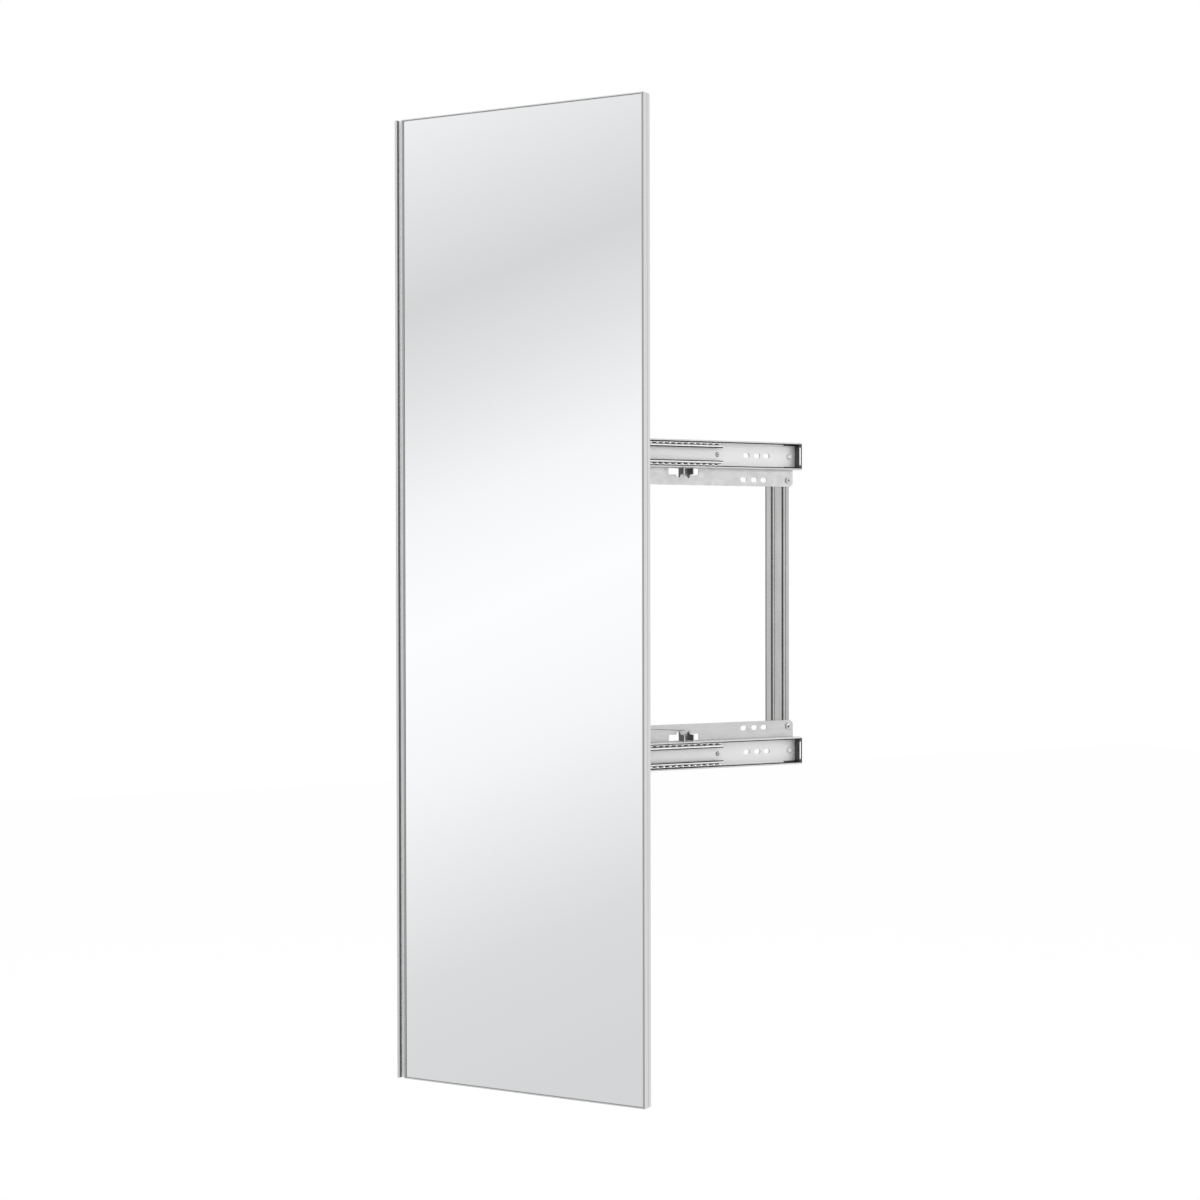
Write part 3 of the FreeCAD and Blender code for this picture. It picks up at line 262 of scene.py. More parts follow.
finishes = {
    "zincSheet": zincPlate(0.52, 0.46),
    # painted shade: a darker zinc for the sides of the bent tabs
    "zincPaintedShade": zincPlate(0.22, 0.5),
    "slideSteel": metal(0.78, 0.54, 300, alongX, 0.00005, scratch=0.05, metallic=0.4),
    # painted light: near-white for the end tab's front face, the middle member's front bend and the handle
    # groove's floor, lighter than their shading gives
    "brightEdge": metal(0.96, 0.42, 500, allRound, 0.00003, metallic=0.3),
    # painted shade: near-black for the shaded lip noses of the slides, the rims and recesses of screw heads
    # and the sides of the stop studs
    "rawEdge": plastic((0.016, 0.016, 0.017), 0.6, 600, 0.00004),
    # grease and painted shade: dark grey for the ball races, partly grease and partly the shade inside the
    # slide channels
    "greaseAndShade": metal(0.12, 0.28, 200, alongX, 0.00008, 0.03, 0.2, 0.2),
    "anodisedUpright": metal(0.37, 0.42, 420, alongZ, 0.00005, 0.004, scratch=0.05),
    # painted shade: dark grey for the handle's rounded arris and the rear edge profile's front face
    "lipPaintedShade": metal(0.34, 0.45, 420, alongZ, 0.00004, metallic=0.6),
    # painted shade: dark grey for the upright grooves and the inner side of the handle lip
    "groovePaintedShade": metal(0.16, 0.5, 420, alongZ, 0.00005, metallic=0.7),
    "frameAluminium": metal(0.74, 0.38, 420, alongZ, 0.00004),
    "endAluminium": metal(0.78, 0.38, 420, (0.05, 0.05, 1), 0.00004),
    "brightScrew": metal(0.68, 0.22, 700, allRound, 0.00003),
    "cageSteel": metal(0.86, 0.3, 500, alongX, 0.00003, metallic=0.8),
    "ballSteel": metal(0.80, 0.10, 900, allRound, 0.00001),
    "rivetSteel": metal(0.50, 0.34, 800, allRound, 0.00004),
    "hingeSteel": metal(0.66, 0.40, 320, allRound, 0.00005, scratch=0.04),
    "groundSteel": metal(0.74, 0.20, 900, (1, 1, 8), 0.00002),
    "blackCap": plastic((0.012, 0.012, 0.013), 0.3, 500, 0.00005, 0.4),
    "blackPlastic": plastic((0.02, 0.02, 0.021), 0.45, 600, 0.00005),
    "acetal": plastic((0.72, 0.71, 0.67), 0.4, 300, 0.00003),
    "sealRubber": plastic((0.03, 0.03, 0.03), 0.6, 700, 0.00005),
    "sealGrey": plastic((0.32, 0.32, 0.32), 0.5, 700, 0.00003),
    "mirrorSilver": silvered(),
    "glassEdge": plastic((0.30, 0.38, 0.36), 0.25, 500, 0.00004, 0.3),
    "backPaint": plastic((0.22, 0.23, 0.24), 0.55, 400, 0.00004),
    "backingFoil": foil(),
    "chipEdge": chipBoard(),
}
for name, material in finishes.items():
    material.name = name
print("finishes made:", len(finishes))


# low and high corners of a node, in millimetres
def reach(node):
    return [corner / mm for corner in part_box(node)]


# The mirror hangs on the post, swung out: its pieces are drawn square to the glass, about the post.
swivel = next(joint for joint in frame["joints"] if joint["name"] == "mirror_swivel")
pivot = Vector(swivel["pos_m"])
swing = math.radians(-swivel["range_deg"][0])
toMirror = Matrix.Translation(pivot) @ Matrix.Rotation(-swing, 4, "Z")
fromMirror = toMirror.inverted()
inMillimetres = Matrix.Scale(mm, 4)


# corners given as (x, y, radius) turn into a run of points with true arcs
def bend(corners, steps=6):
    path = []
    for index, (across, up, radius) in enumerate(corners):
        corner = Vector((across, up))
        if not radius:
            path.append(corner)
            continue
        back = (Vector(corners[index - 1][:2]) - corner).normalized()
        ahead = (Vector(corners[(index + 1) % len(corners)][:2]) - corner).normalized()
        half = back.angle(ahead) / 2
        centre = corner + (back + ahead).normalized() * (radius / math.sin(half))
        start = corner + back * (radius / math.tan(half)) - centre
        end = corner + ahead * (radius / math.tan(half)) - centre
        turn = math.atan2(start.x * end.y - start.y * end.x, start.dot(end))
        for step in range(steps + 1):
            path.append(centre + Matrix.Rotation(turn * step / steps, 2) @ start)
    return path


# the outline of a sheet that follows a bent path down its middle
def thicken(path, wall):
    left, right = [], []
    for index, spot in enumerate(path):
        before = path[max(index, 1)] - path[max(index, 1) - 1]
        after = path[min(index + 1, len(path) - 1)] - path[min(index, len(path) - 2)]
        along = (before.normalized() + after.normalized()).normalized()
        aside = Vector((-along.y, along.x)) * (wall / 2 / along.dot(after.normalized()))
        left.append(spot + aside)
        right.append(spot - aside)
    return left + right[::-1]


def mirrored(half):
    return half + [(-across, up, radius) for across, up, radius in reversed(half)]


# a closed outline drawn through space: lay turns (x, y, along) into a place in metres
def sweep(bm, outline, start, end, lay):
    rings = [[bm.verts.new(lay(spot.x, spot.y, along)) for spot in outline] for along in (start, end)]
    for index in range(len(outline)):
        other = (index + 1) % len(outline)
        bm.faces.new((rings[0][index], rings[0][other], rings[1][other], rings[1][index]))
    bm.faces.new(rings[0][::-1])
    bm.faces.new(rings[1])


# a turned form from (radius, height) pairs; a hollow one closes on itself
def lathe(bm, profile, place, hollow=False, turns=36):
    rings = []
    for radius, height in profile:
        count = turns if radius else 1
        angles = [2 * math.pi * step / turns for step in range(count)]
        spots = [Vector((radius * math.cos(angle), radius * math.sin(angle), height)) for angle in angles]
        rings.append([bm.verts.new(place @ spot) for spot in spots])
    pairs = list(zip(rings, rings[1:])) + ([(rings[-1], rings[0])] if hollow else [])
    for lower, upper in pairs:
        for step in range(turns):
            after = (step + 1) % turns
            corners = [lower[step % len(lower)], lower[after % len(lower)],
                       upper[after % len(upper)], upper[step % len(upper)]]
            bm.faces.new(list(dict.fromkeys(corners)))


def turned(corners):
    return [(max(spot.x, 0), spot.y) for spot in bend(corners, 4)]


def addObject(name, data):
    thing = bpy.data.objects.new(name, data)
    bpy.context.scene.collection.objects.link(thing)
    return thing


def newPiece(name, bm):
    bmesh.ops.recalc_face_normals(bm, faces=bm.faces)
    mesh = bpy.data.meshes.new(name)
    bm.to_mesh(mesh)
    bm.free()
    return addObject(name, mesh)


def sweptPiece(name, outline, start, end, lay):
    bm = bmesh.new()
    sweep(bm, outline, start, end, lay)
    return newPiece(name, bm)


def turnedPiece(name, profile, place, hollow=False, turns=36):
    bm = bmesh.new()
    lathe(bm, profile, place, hollow, turns)
    return newPiece(name, bm)


# swaps a piece's mesh for the one that its modifiers make
def applyAll(piece):
    done = bpy.data.meshes.new_from_object(piece.evaluated_get(bpy.context.evaluated_depsgraph_get()))
    piece.modifiers.clear()
    piece.data = done


# cuts one form out of another, or joins the two, for good
def carve(piece, tool, operation="DIFFERENCE"):
    change = piece.modifiers.new("change", "BOOLEAN")
    change.operation = operation
    change.solver = "EXACT"
    change.object = tool
    applyAll(piece)
    bpy.data.objects.remove(tool)
    return piece


# rounds the edges that turn more than the angle; test picks them by their middle and direction
def soften(piece, width, angle=30, segments=2, test=None):
    bm = bmesh.new()
    bm.from_mesh(piece.data)
    bmesh.ops.remove_doubles(bm, verts=bm.verts, dist=1e-7)
    bmesh.ops.dissolve_limit(bm, angle_limit=math.radians(0.5), verts=bm.verts, edges=bm.edges)
    chosen = []
    for edge in bm.edges:
        if len(edge.link_faces) != 2 or abs(edge.calc_face_angle(0)) < math.radians(angle):
            continue
        first, second = (vert.co for vert in edge.verts)
        if test is None or test((first + second) / 2 / mm, (second - first).normalized()):
            chosen.append(edge)
    bmesh.ops.bevel(bm, geom=chosen, offset=width * mm, offset_type="OFFSET", segments=segments,
                    profile=0.5, affect="EDGES", clamp_overlap=True)
    bm.to_mesh(piece.data)
    bm.free()
    return piece


# splits the faces of a piece along planes, each given by a point in millimetres and a normal, for the paint
def split(piece, *planes):
    bm = bmesh.new()
    bm.from_mesh(piece.data)
    for spot, normal in planes:
        bmesh.ops.bisect_plane(bm, geom=bm.verts[:] + bm.edges[:] + bm.faces[:], dist=1e-7,
                               plane_co=Vector(spot) * mm, plane_no=normal)
    bm.to_mesh(piece.data)
    bm.free()


# planes across a slide, on both sides of its middle line
def levelPlanes(side, *limits):
    return [((0, 0, side * slideLine + row * limit), (0, 0, 1)) for limit in limits for row in (-1, 1)]


# gives the faces that pass a test another finish; the test reads their middle and normal
def paint(piece, finish, test):
    piece.data.materials.append(finishes[finish])
    index = len(piece.data.materials) - 1
    for face in piece.data.polygons:
        if test(face.center / mm, face.normal):
            face.material_index = index


def dress(piece, finish):
    piece.data.materials.clear()
    piece.data.materials.append(finishes[finish])
    for face in piece.data.polygons:
        face.material_index = 0


# smooth shading, crisp at sharp edges and flat on broad faces; then the piece takes its body, and the nodes
# that it replaces are hidden
def settle(piece, body, slotName, *replaced, smooth=32):
    piece.data.shade_smooth()
    piece.data.set_sharp_from_angle(angle=math.radians(smooth))
    flats = piece.modifiers.new("flats", "WEIGHTED_NORMAL")
    flats.keep_sharp = True
    applyAll(piece)
    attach(piece, body)
    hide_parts(*replaced)


# one or more turned or cut forms, each with the places where it repeats, as one piece
def scatter(name, *groups):
    bm = bmesh.new()
    mesh = bpy.data.meshes.new(name)
    for material in groups[0][0].data.materials:
        mesh.materials.append(material)
    for template, places in groups:
        for place in places:
            copy = template.data.copy()
            copy.transform(place)
            bm.from_mesh(copy)
            bpy.data.meshes.remove(copy)
        bpy.data.objects.remove(template)
    bm.to_mesh(mesh)
    bm.free()
    return addObject(name, mesh)


# ways that a fastener points: its own axis runs out of its head
outwards = Matrix.Rotation(math.radians(90), 4, "X")
backwards = Matrix.Rotation(math.radians(-90), 4, "X")
upwards, downwards = Matrix(), Matrix.Rotation(math.pi, 4, "X")


def at(x, y, z, turn=Matrix(), twist=0):
    place = Matrix.Translation(Vector((x, y, z)) * mm)
    return place @ turn @ Matrix.Rotation(math.radians(twist), 4, "Z")


# the slides: each is drawn across (v), out from the plate (w) and along x
outerLow, outerHigh = reach("upper_outer_member")
slideLine = (outerLow.z + outerHigh.z) / 2
slideBack = outerHigh.y
slideHalf = (outerHigh.z - outerLow.z) / 2
slideDeep = outerHigh.y - outerLow.y


def slideLay(side):
    return lambda v, w, x: Vector((x, slideBack - w, side * slideLine + v)) * mm


# the way back: how far a spot stands off the slide's middle line, and how far out from the plate
def offsets(side, spot):
    return spot.z - side * slideLine, slideBack - spot.y


def plainLay(x, y, z):
    return Vector((x, y, z)) * mm


def webHoles(side, back, rounds=(), slots=(), slotSize=(10, 6.4)):
    bm = bmesh.new()
    lay = slideLay(side)

    def through(outline):
        sweep(bm, outline, back - 3, back + 3, lambda x, v, w: lay(v, w, x))

    for x, radius in rounds:
        angles = [step * math.pi / 16 for step in range(32)]
        through([Vector((x + radius * math.cos(angle), radius * math.sin(angle))) for angle in angles])
    long, wide = slotSize
    for x in slots:
        left, right, half = x - long / 2, x + long / 2, wide / 2
        end = half * 0.998  # a full half would leave no straight between the two arcs
        through(bend([(left, -half, end), (right, -half, end), (right, half, end), (left, half, end)], 12))
    return newPiece("webHoles", bm)


outerMember = {
    "wall": 1.2, "backBend": 3.5, "lipBend": 1.3, "lipEdge": 15.9, "nose": 0.75, "noseBend": 0.7,
    "noseFrom": 13, "noseShade": 0.85, "tabHalf": 12.5, "tabFoot": 0.3, "tabInset": 2.3, "tabCorner": 1.5,
    "tabWall": 1.7, "slots": (71, 88, 103), "rivets": (139, -127.5), "rivetHole": 1.95,
    "greaseShadeFrom": 12.6, "greaseShadeDeep": 11.6, "greaseShadeOn": 2.5, "soft": 0.15,
}


def makeOuterMember(level, side):
    size = outerMember
    half = size["wall"] / 2
    flange, front = slideHalf - half, slideDeep - half
    lay = slideLay(side)
    lip = size["lipEdge"]
    section = mirrored([(lip, front - size["nose"], 0), (lip, front, size["noseBend"]),
                        (flange, front, size["lipBend"]), (flange, half, size["backBend"])])
    outline = thicken(bend(section, 8), size["wall"])
    piece = sweptPiece(level + "OuterMember", outline, outerLow.x, outerHigh.x, lay)
    tabHalf, tabEnd = size["tabHalf"], outerHigh.x - size["tabInset"]
    tabFront = tabEnd - size["tabWall"]
    tab = bend(mirrored([(tabHalf, size["tabFoot"], 0), (tabHalf, slideDeep, size["tabCorner"])]))
    carve(piece, sweptPiece("endTab", tab, tabFront, tabEnd, lay), "UNION")
    carve(piece, webHoles(side, 0.5, [(x, size["rivetHole"]) for x in size["rivets"]], size["slots"]))
    soften(piece, size["soft"], 50)
    greaseShadeEnd = reach(level + "_outer_cage")[1].x + size["greaseShadeOn"]
    lipLine = lip + size["noseShade"]
    split(piece, ((greaseShadeEnd, 0, 0), (1, 0, 0)), *levelPlanes(side, size["greaseShadeFrom"], lipLine))
    dress(piece, "slideSteel")

    # grease and painted shade: the races inside the outer member, up to just past the cage, are painted dark
    def inRace(middle, normal):
        v, w = offsets(side, middle)
        facesIn = normal.z * v < -0.25 * abs(v) or normal.y < -0.5
        return middle.x < greaseShadeEnd and abs(v) > size["greaseShadeFrom"] and w < size["greaseShadeDeep"] and facesIn

    # painted shade: the inner nose of each lip is painted near-black for the shadowed gap behind it
    def onNose(middle, normal):
        v, w = offsets(side, middle)
        return w > front - size["nose"] - 0.3 and size["noseFrom"] < abs(v) < lipLine

    # painted highlight: the front face of the end tab is painted near-white
    def onTabEdge(middle, normal):
        return middle.x > tabFront - 0.01 and normal.y < -0.9 and abs(offsets(side, middle)[0]) < tabHalf

    paint(piece, "greaseAndShade", inRace)
    paint(piece, "rawEdge", onNose)
    paint(piece, "brightEdge", onTabEdge)
    settle(piece, "wall_frame", "slide_steel", level + "_outer_member")


middleMember = {
    "wall": 1.0, "half": 12.3, "back": 3.0, "front": 11.5, "backBend": 2.0, "frontBend": 1.4,
    "lipEdge": 9.0, "noseBend": 0.69, "nose": 10.3, "noseShade": 1.0, "brightDeep": 1.6,
    "studInset": 4.5, "studHole": 1.65, "soft": 0.12,
}


def makeMiddleMember(level, side):
    size = middleMember
    half = size["wall"] / 2
    flange = size["half"] - half
    low, high = reach(level + "_middle_member")
    front, lipLine = size["front"] - half, size["lipEdge"] + size["noseShade"]
    section = mirrored([(size["lipEdge"], size["nose"], 0), (size["lipEdge"], front, size["noseBend"]),
                        (flange, front, size["frontBend"]), (flange, size["back"] + half, size["backBend"])])
    outline = thicken(bend(section, 8), size["wall"])
    piece = sweptPiece(level + "MiddleMember", outline, low.x, high.x, slideLay(side))
    carve(piece, webHoles(side, size["back"] + half, [(high.x - size["studInset"], size["studHole"])]))
    soften(piece, size["soft"], 50)
    split(piece, *levelPlanes(side, lipLine))
    dress(piece, "slideSteel")

    # painted shade: the inner nose of each lip is painted near-black for the shadowed gap behind it
    def onNose(middle, normal):
        v, w = offsets(side, middle)
        return abs(v) < lipLine and w > size["nose"] - 0.3

    # grease and painted shade: the races inside the middle member are painted dark
    def inRace(middle, normal):
        v, w = offsets(side, middle)
        inside = size["back"] + size["wall"] < w < size["front"] - 0.6
        return inside and abs(v) > size["lipEdge"] + 0.5 and abs(normal.z) > 0.5

    # painted light: the front bend, shaded by the outer member's lips, is painted near-white
    def onFrontBend(middle, normal):
        v, w = offsets(side, middle)
        return w > size["front"] - size["brightDeep"] and normal.y < -0.1 and abs(v) > lipLine

    paint(piece, "rawEdge", onNose)
    paint(piece, "greaseAndShade", inRace)
    paint(piece, "brightEdge", onFrontBend)
    settle(piece, "middle_members", "slide_steel", level + "_middle_member")


innerMember = {
    "wall": 1.0, "half": 8.2, "back": 5.8, "bend": 1.3, "greaseShadeFront": 1.5,
    "rivets": (18, 52), "rivetHole": 1.95, "soft": 0.12,
}


def makeInnerMember(level, side):
    size = innerMember
    half = size["wall"] / 2
    flange, front = size["half"] - half, slideDeep - half
    low, high = reach(level + "_inner_member")
    section = mirrored([(flange, size["back"], 0), (flange, front, size["bend"])])
    outline = thicken(bend(section, 8), size["wall"])
    piece = sweptPiece(level + "InnerMember", outline, low.x, high.x, slideLay(side))
    carve(piece, webHoles(side, front, [(low.x + x, size["rivetHole"]) for x in size["rivets"]]))
    soften(piece, size["soft"], 50)
    dress(piece, "slideSteel")

    # grease and painted shade: the outer faces of the flanges, where the balls run, are painted dark
    def inRace(middle, normal):
        v, w = offsets(side, middle)
        return w < slideDeep - size["greaseShadeFront"] and normal.z * v > 0.5 * abs(v)

    paint(piece, "greaseAndShade", inRace)
    settle(piece, "carriage", "slide_steel", level + "_inner_member")


for level, side in levels:
    makeOuterMember(level, side)
    makeMiddleMember(level, side)
    makeInnerMember(level, side)
print("slide members made")


# each cage: how far its strips stand off the middle line, their depths, its balls and its collars
cages = {
    "outer": {"strip": 14.85, "web": 1.9, "wall": 0.8, "reach": 8.5, "bend": 1.2,
              "ball": 2.5, "ballDeep": 6.4, "collar": 3.4, "collarHalf": 2.3, "count": 16,
              "finish": "cageSteel", "slot": "cage_steel", "body": "outer_ball_cages"},
    "inner": {"strip": 9.75, "web": 4.6, "wall": 0.6, "reach": 9.3, "bend": 0.7,
              "ball": 1.5, "ballDeep": 8.0, "collar": 2.2, "collarHalf": 1.3, "count": 13,
              "finish": "blackPlastic", "slot": "cage_plastic", "body": "inner_ball_cages"},
}
ballPitch = 9.6


def ballPlaces(size, name):
    rear = reach("upper_" + name + "_cage")[1].x
    return [rear - size["collar"] - ballPitch * index for index in range(size["count"])]


# a collar bulges round its ball, so that each one reads as a boss
def collarProfile(size):
    bore, out, half = size["ball"] + 0.1, size["collar"], size["collarHalf"]
    bulge = [(bore + 0.15 + (out - bore - 0.15) * math.cos(turn), half * math.sin(turn))
             for turn in (math.radians(angle) for angle in range(-75, 76, 15))]
    return [(bore, -half * 0.9), (bore + 0.12, -half)] + bulge + [(bore + 0.12, half), (bore, half * 0.9)]


def makeCage(name, level, side):
    size = cages[name]
    low, high = reach(level + "_" + name + "_cage")
    lay = slideLay(side)
    section = mirrored([(size["strip"], size["reach"], 0), (size["strip"], size["web"], size["bend"])])
    outline = thicken(bend(section, 5), size["wall"])
    piece = sweptPiece(level + name.capitalize() + "Cage", outline, low.x, high.x, lay)
    bores = bmesh.new()
    boreRadius = (size["ball"] + size["collar"]) / 2
    for x in ballPlaces(size, name):
        lathe(bores, [(0, -slideHalf), (boreRadius, -slideHalf), (boreRadius, slideHalf), (0, slideHalf)],
              Matrix.Translation(lay(0, size["ballDeep"], x)) @ inMillimetres, False, 24)
    carve(piece, newPiece("ballBores", bores))
    collars = bmesh.new()
    collars.from_mesh(piece.data)
    for x in ballPlaces(size, name):
        for row in (-1, 1):
            place = Matrix.Translation(lay(row * size["strip"], size["ballDeep"], x)) @ inMillimetres
            lathe(collars, collarProfile(size), place, True, 28)
    bmesh.ops.recalc_face_normals(collars, faces=collars.faces)
    collars.to_mesh(piece.data)
    collars.free()
    dress(piece, size["finish"])
    settle(piece, size["body"], size["slot"], level + "_" + name + "_cage", smooth=40)


def makeBalls(name):
    size = cages[name]
    bm = bmesh.new()
    for _, side in levels:
        for row in (-1, 1):
            for x in ballPlaces(size, name):
                place = Matrix.Translation(slideLay(side)(row * size["strip"], size["ballDeep"], x))
                bmesh.ops.create_icosphere(bm, subdivisions=3, radius=size["ball"] * mm, matrix=place)
    piece = newPiece(name + "CageBalls", bm)
    dress(piece, "ballSteel")
    settle(piece, size["body"], "ball_steel", name + "_cage_balls", smooth=60)


for name in cages:
    for level, side in levels:
        makeCage(name, level, side)
    makeBalls(name)
print("ball cages and balls made")


endBumper = {
    "half": 16.4, "back": 1.25, "backCorner": 2.6, "frontCorner": 2.0, "length": 4.8, "tabGap": 0.05,
    "wingLine": 16.5, "wingWall": 1.7, "wingBend": 1.9, "wingBack": 2.1, "wingIn": 14.3, "wingFront": 11.3,
    "wingSoft": 0.25, "soft": 0.4,
}


# the black cap: a block that sleeves the end tab, and a wing that runs in along each race
def makeEndBumper(level, side):
    size = endBumper
    lay = slideLay(side)
    low, high = reach(level + "_end_bumper")
    half, blockEnd = size["half"], high.x - size["length"]
    block = bend(mirrored([(half, size["back"], size["backCorner"]), (half, slideDeep, size["frontCorner"])]))
    piece = soften(sweptPiece(level + "EndBumper", block, blockEnd, high.x, lay), size["soft"], 50, 3)
    for row in (-1, 1):
        line = row * size["wingLine"]
        path = bend([(line, size["wingFront"], 0), (line, size["wingBack"], size["wingBend"]),
                     (row * size["wingIn"], size["wingBack"], 0)])
        wing = sweptPiece("wing", thicken(path, size["wingWall"]), low.x, blockEnd + 1, lay)
        carve(piece, soften(wing, size["wingSoft"], 50), "UNION")
    tabHalf = outerMember["tabHalf"] + size["tabGap"]
    tabRear = high.x - outerMember["tabInset"] + size["tabGap"]
    tabFront = tabRear - outerMember["tabWall"] - 2 * size["tabGap"]
    sleeve = bend(mirrored([(tabHalf, -1, 0), (tabHalf, slideDeep + 1, 0)]))
    carve(piece, sweptPiece("sleeve", sleeve, tabFront, tabRear, lay))
    dress(piece, "blackCap")
    settle(piece, "wall_frame", "bumper_rubber", level + "_end_bumper")


for level, side in levels:
    makeEndBumper(level, side)
print("end bumpers made")


# shares of a screw's head, or of its shank for the thread
threadForm = {"pitch": 0.35, "tip": 0.6, "root": 0.84, "neck": 0.9}
headForm = {"flat": 0.45, "chamfer": 0.15, "rimShade": 0.93, "recessShade": 0.6}
crossForm = {"arm": 0.45, "web": 0.15, "deep": 0.75, "mouth": 1.15, "foot": 0.4}
hexForm = {"radius": 0.33, "floor": 0.3}


# a cross recess that narrows to its bottom
def crossRecess(top, head):
    arm, web = head * crossForm["arm"], head * crossForm["web"]
    outline = []
    for quarter in range(4):
        turn = Matrix.Rotation(-math.pi / 2 * quarter, 2)
        outline += [turn @ Vector(corner) for corner in ((web, web), (arm, web), (arm, -web))]

    def lay(x, y, z):
        share = crossForm["mouth"] if z > top else crossForm["foot"]
        return plainLay(x * share, y * share, z)

    return sweptPiece("bit", outline[::-1], top - top * crossForm["deep"] - 0.4, top + 0.3, lay)


def hexSocket(top, head):
    radius = head * hexForm["radius"]
    angles = [step * math.pi / 3 for step in range(6)]
    corners = [Vector((radius * math.cos(angle), radius * math.sin(angle))) for angle in angles]
    return sweptPiece("bit", corners, top * hexForm["floor"], top + 1, plainLay)


# a screw's head and threaded shank; height 0 is the face that the head sits on
def makeScrew(size, long, recess=crossRecess):
    head, thick, shank, dome = (size[key] for key in ("head", "thick", "shank", "dome"))
    pitch = threadForm["pitch"] * shank + 0.2
    corners = [(0, -long, 0), (shank * threadForm["tip"], -long, 0)]
    for turn in range(max(int((long - 0.6) / pitch), 1)):
        base = -long + 0.4 + turn * pitch
        corners += [(shank * threadForm["root"], base, 0), (shank, base + pitch * 0.5, 0)]
    chamfer = headForm["chamfer"]
    brow = min(dome * 0.8, (thick - dome - chamfer) * 1.3)  # what the rim and the dome leave room for
    corners += [(shank * threadForm["neck"], 0, 0), (head - chamfer, 0, 0), (head, chamfer, 0),
                (head, thick - dome, brow), (head * headForm["flat"], thick, 0), (0, thick, 0)]
    piece = turnedPiece("screw", turned(corners), inMillimetres)
    carve(piece, recess(thick, head))
    dress(piece, "brightScrew")

    # painted shade: the head's rim and the inside of the recess are painted near-black for the shade round
    # the head and in the recess
    def shaded(middle, normal):
        around = math.hypot(middle.x, middle.y)
        inRecess = around < head * headForm["recessShade"] and middle.z < thick - 0.05
        return middle.z > 0 and (around > head * headForm["rimShade"] or inRecess)

    paint(piece, "rawEdge", shaded)
    return piece


frameScrew = {"head": 4.5, "thick": 1.4, "dome": 0.8, "shank": 1.6, "long": 4.4, "twists": (17, 58, 31, 74)}
hingeScrew = {"head": 3.5, "thick": 2.0, "dome": 1.3, "shank": 1.8, "long": 12, "ahead": -17, "behind": 37,
              "face": -7.5, "rise": 13, "twists": (8, 41, 66, 23, 80, 12, 55, 34)}
cornerScrew = {"head": 2.7, "thick": 1.2, "dome": 0.8, "shank": 1.5, "backLong": 6, "endLong": 5.7,
               "across": (-32.65, 295.05), "face": -10.0, "inset": 6.2,
               "endAcross": (-28.65, 291.05), "endDeep": -17.5}
postScrew = {"head": 7.0, "thick": 2.5, "dome": 1.5, "shank": 2.0, "long": 13}


def makeScrews():
    size = frameScrew
    low, high = reach("frame_screws")
    screwX, screwZ = high.x - size["head"], high.z - size["head"]
    spots = [(x, z) for x in (-screwX, screwX) for z in (-screwZ, screwZ)]
    places = [at(x, slideBack, z, outwards, twist) for (x, z), twist in zip(spots, size["twists"])]
    piece = scatter("frameScrews", (makeScrew(size, size["long"]), places))
    settle(piece, "wall_frame", "frame_screw_steel", "frame_screws", smooth=28)

    size = hingeScrew
    bracketLow, bracketHigh = reach("upper_hinge_bracket")
    leafLine = (bracketLow.z + bracketHigh.z) / 2
    spots = [(x, side * (leafLine + way * size["rise"]))
             for side in (1, -1) for x in (size["ahead"], size["behind"]) for way in (1, -1)]
    places = [toMirror @ at(x, size["face"], z, backwards, twist)
              for (x, z), twist in zip(spots, size["twists"])]
    piece = scatter("hingeScrews", (makeScrew(size, size["long"]), places))
    settle(piece, "mirror", "hinge_screw_steel", "hinge_screws", smooth=28)

    size = cornerScrew
    low, high = (corner.z for corner in reach("handle_profile"))
    backs = [toMirror @ at(x, size["face"], z, backwards, x + z)
             for x in size["across"] for z in (low + size["inset"], high - size["inset"])]
    ends = [toMirror @ at(x, size["endDeep"], z, turn, x)
            for x in size["endAcross"] for z, turn in ((low, downwards), (high, upwards))]
    piece = scatter("cornerScrews", (makeScrew(size, size["backLong"]), backs),
                    (makeScrew(size, size["endLong"]), ends))
    settle(piece, "mirror", "corner_screw_steel", "corner_screws", smooth=28)

    size = postScrew
    top = reach("pivot_post")[1].z
    centre = pivot / mm
    places = [at(centre.x, centre.y, top, upwards), at(centre.x, centre.y, -top, downwards)]
    piece = scatter("postScrews", (makeScrew(size, size["long"], hexSocket), places))
    settle(piece, "carriage", "hinge_steel", "post_screws", smooth=28)


makeScrews()
print("screws made")


slideRivet = {"head": 3.3, "high": 2.6, "low": 1.2, "shank": 1.9, "grip": 2.7, "tail": 1.2,
              "land": 4.6, "landThick": 0.18, "landGap": 0.2}
armRivet = {"head": 3.3, "thick": 1.0, "shank": 1.9, "grip": 6.0, "tail": 1.0}
stopStud = {"head": 3.0, "thick": 1.2, "shank": 1.6, "grip": 1.0, "bore": 0.9, "round": 1.0}
rivetForm = {"tailRound": 0.6, "round": 0.55, "roundMost": 0.9, "dimple": 0.42, "dimpleFoot": 0.3,
             "dimpleDeep": 0.3, "seat": 0.04}


# a rivet from its tail to its dimpled head; a land is a thin ring pressed up round the head
def makeRivet(size, thick, land=False):
    head, shank, grip, tail = (size[key] for key in ("head", "shank", "grip", "tail"))
    form = rivetForm
    seat, foot = form["seat"], thick - form["dimpleDeep"]
    corners = [(0, -grip - tail, 0), (head, -grip - tail, tail * form["tailRound"]), (head, -grip, 0),
               (shank, -grip, 0), (shank, 0, 0)]
    if land:
        ring, ringThick, inside = size["land"], size["landThick"], head + size["landGap"]
        corners += [(ring, 0, 0), (ring - 0.15, ringThick, 0), (inside, ringThick, 0), (inside, seat, 0)]
    corners += [(head, seat, 0), (head, thick, min(thick * form["round"], form["roundMost"])),
                (head * form["dimple"], thick, 0.1), (head * form["dimpleFoot"], foot, 0.1), (0, foot, 0)]
    return turnedPiece("rivet", turned(corners), inMillimetres)


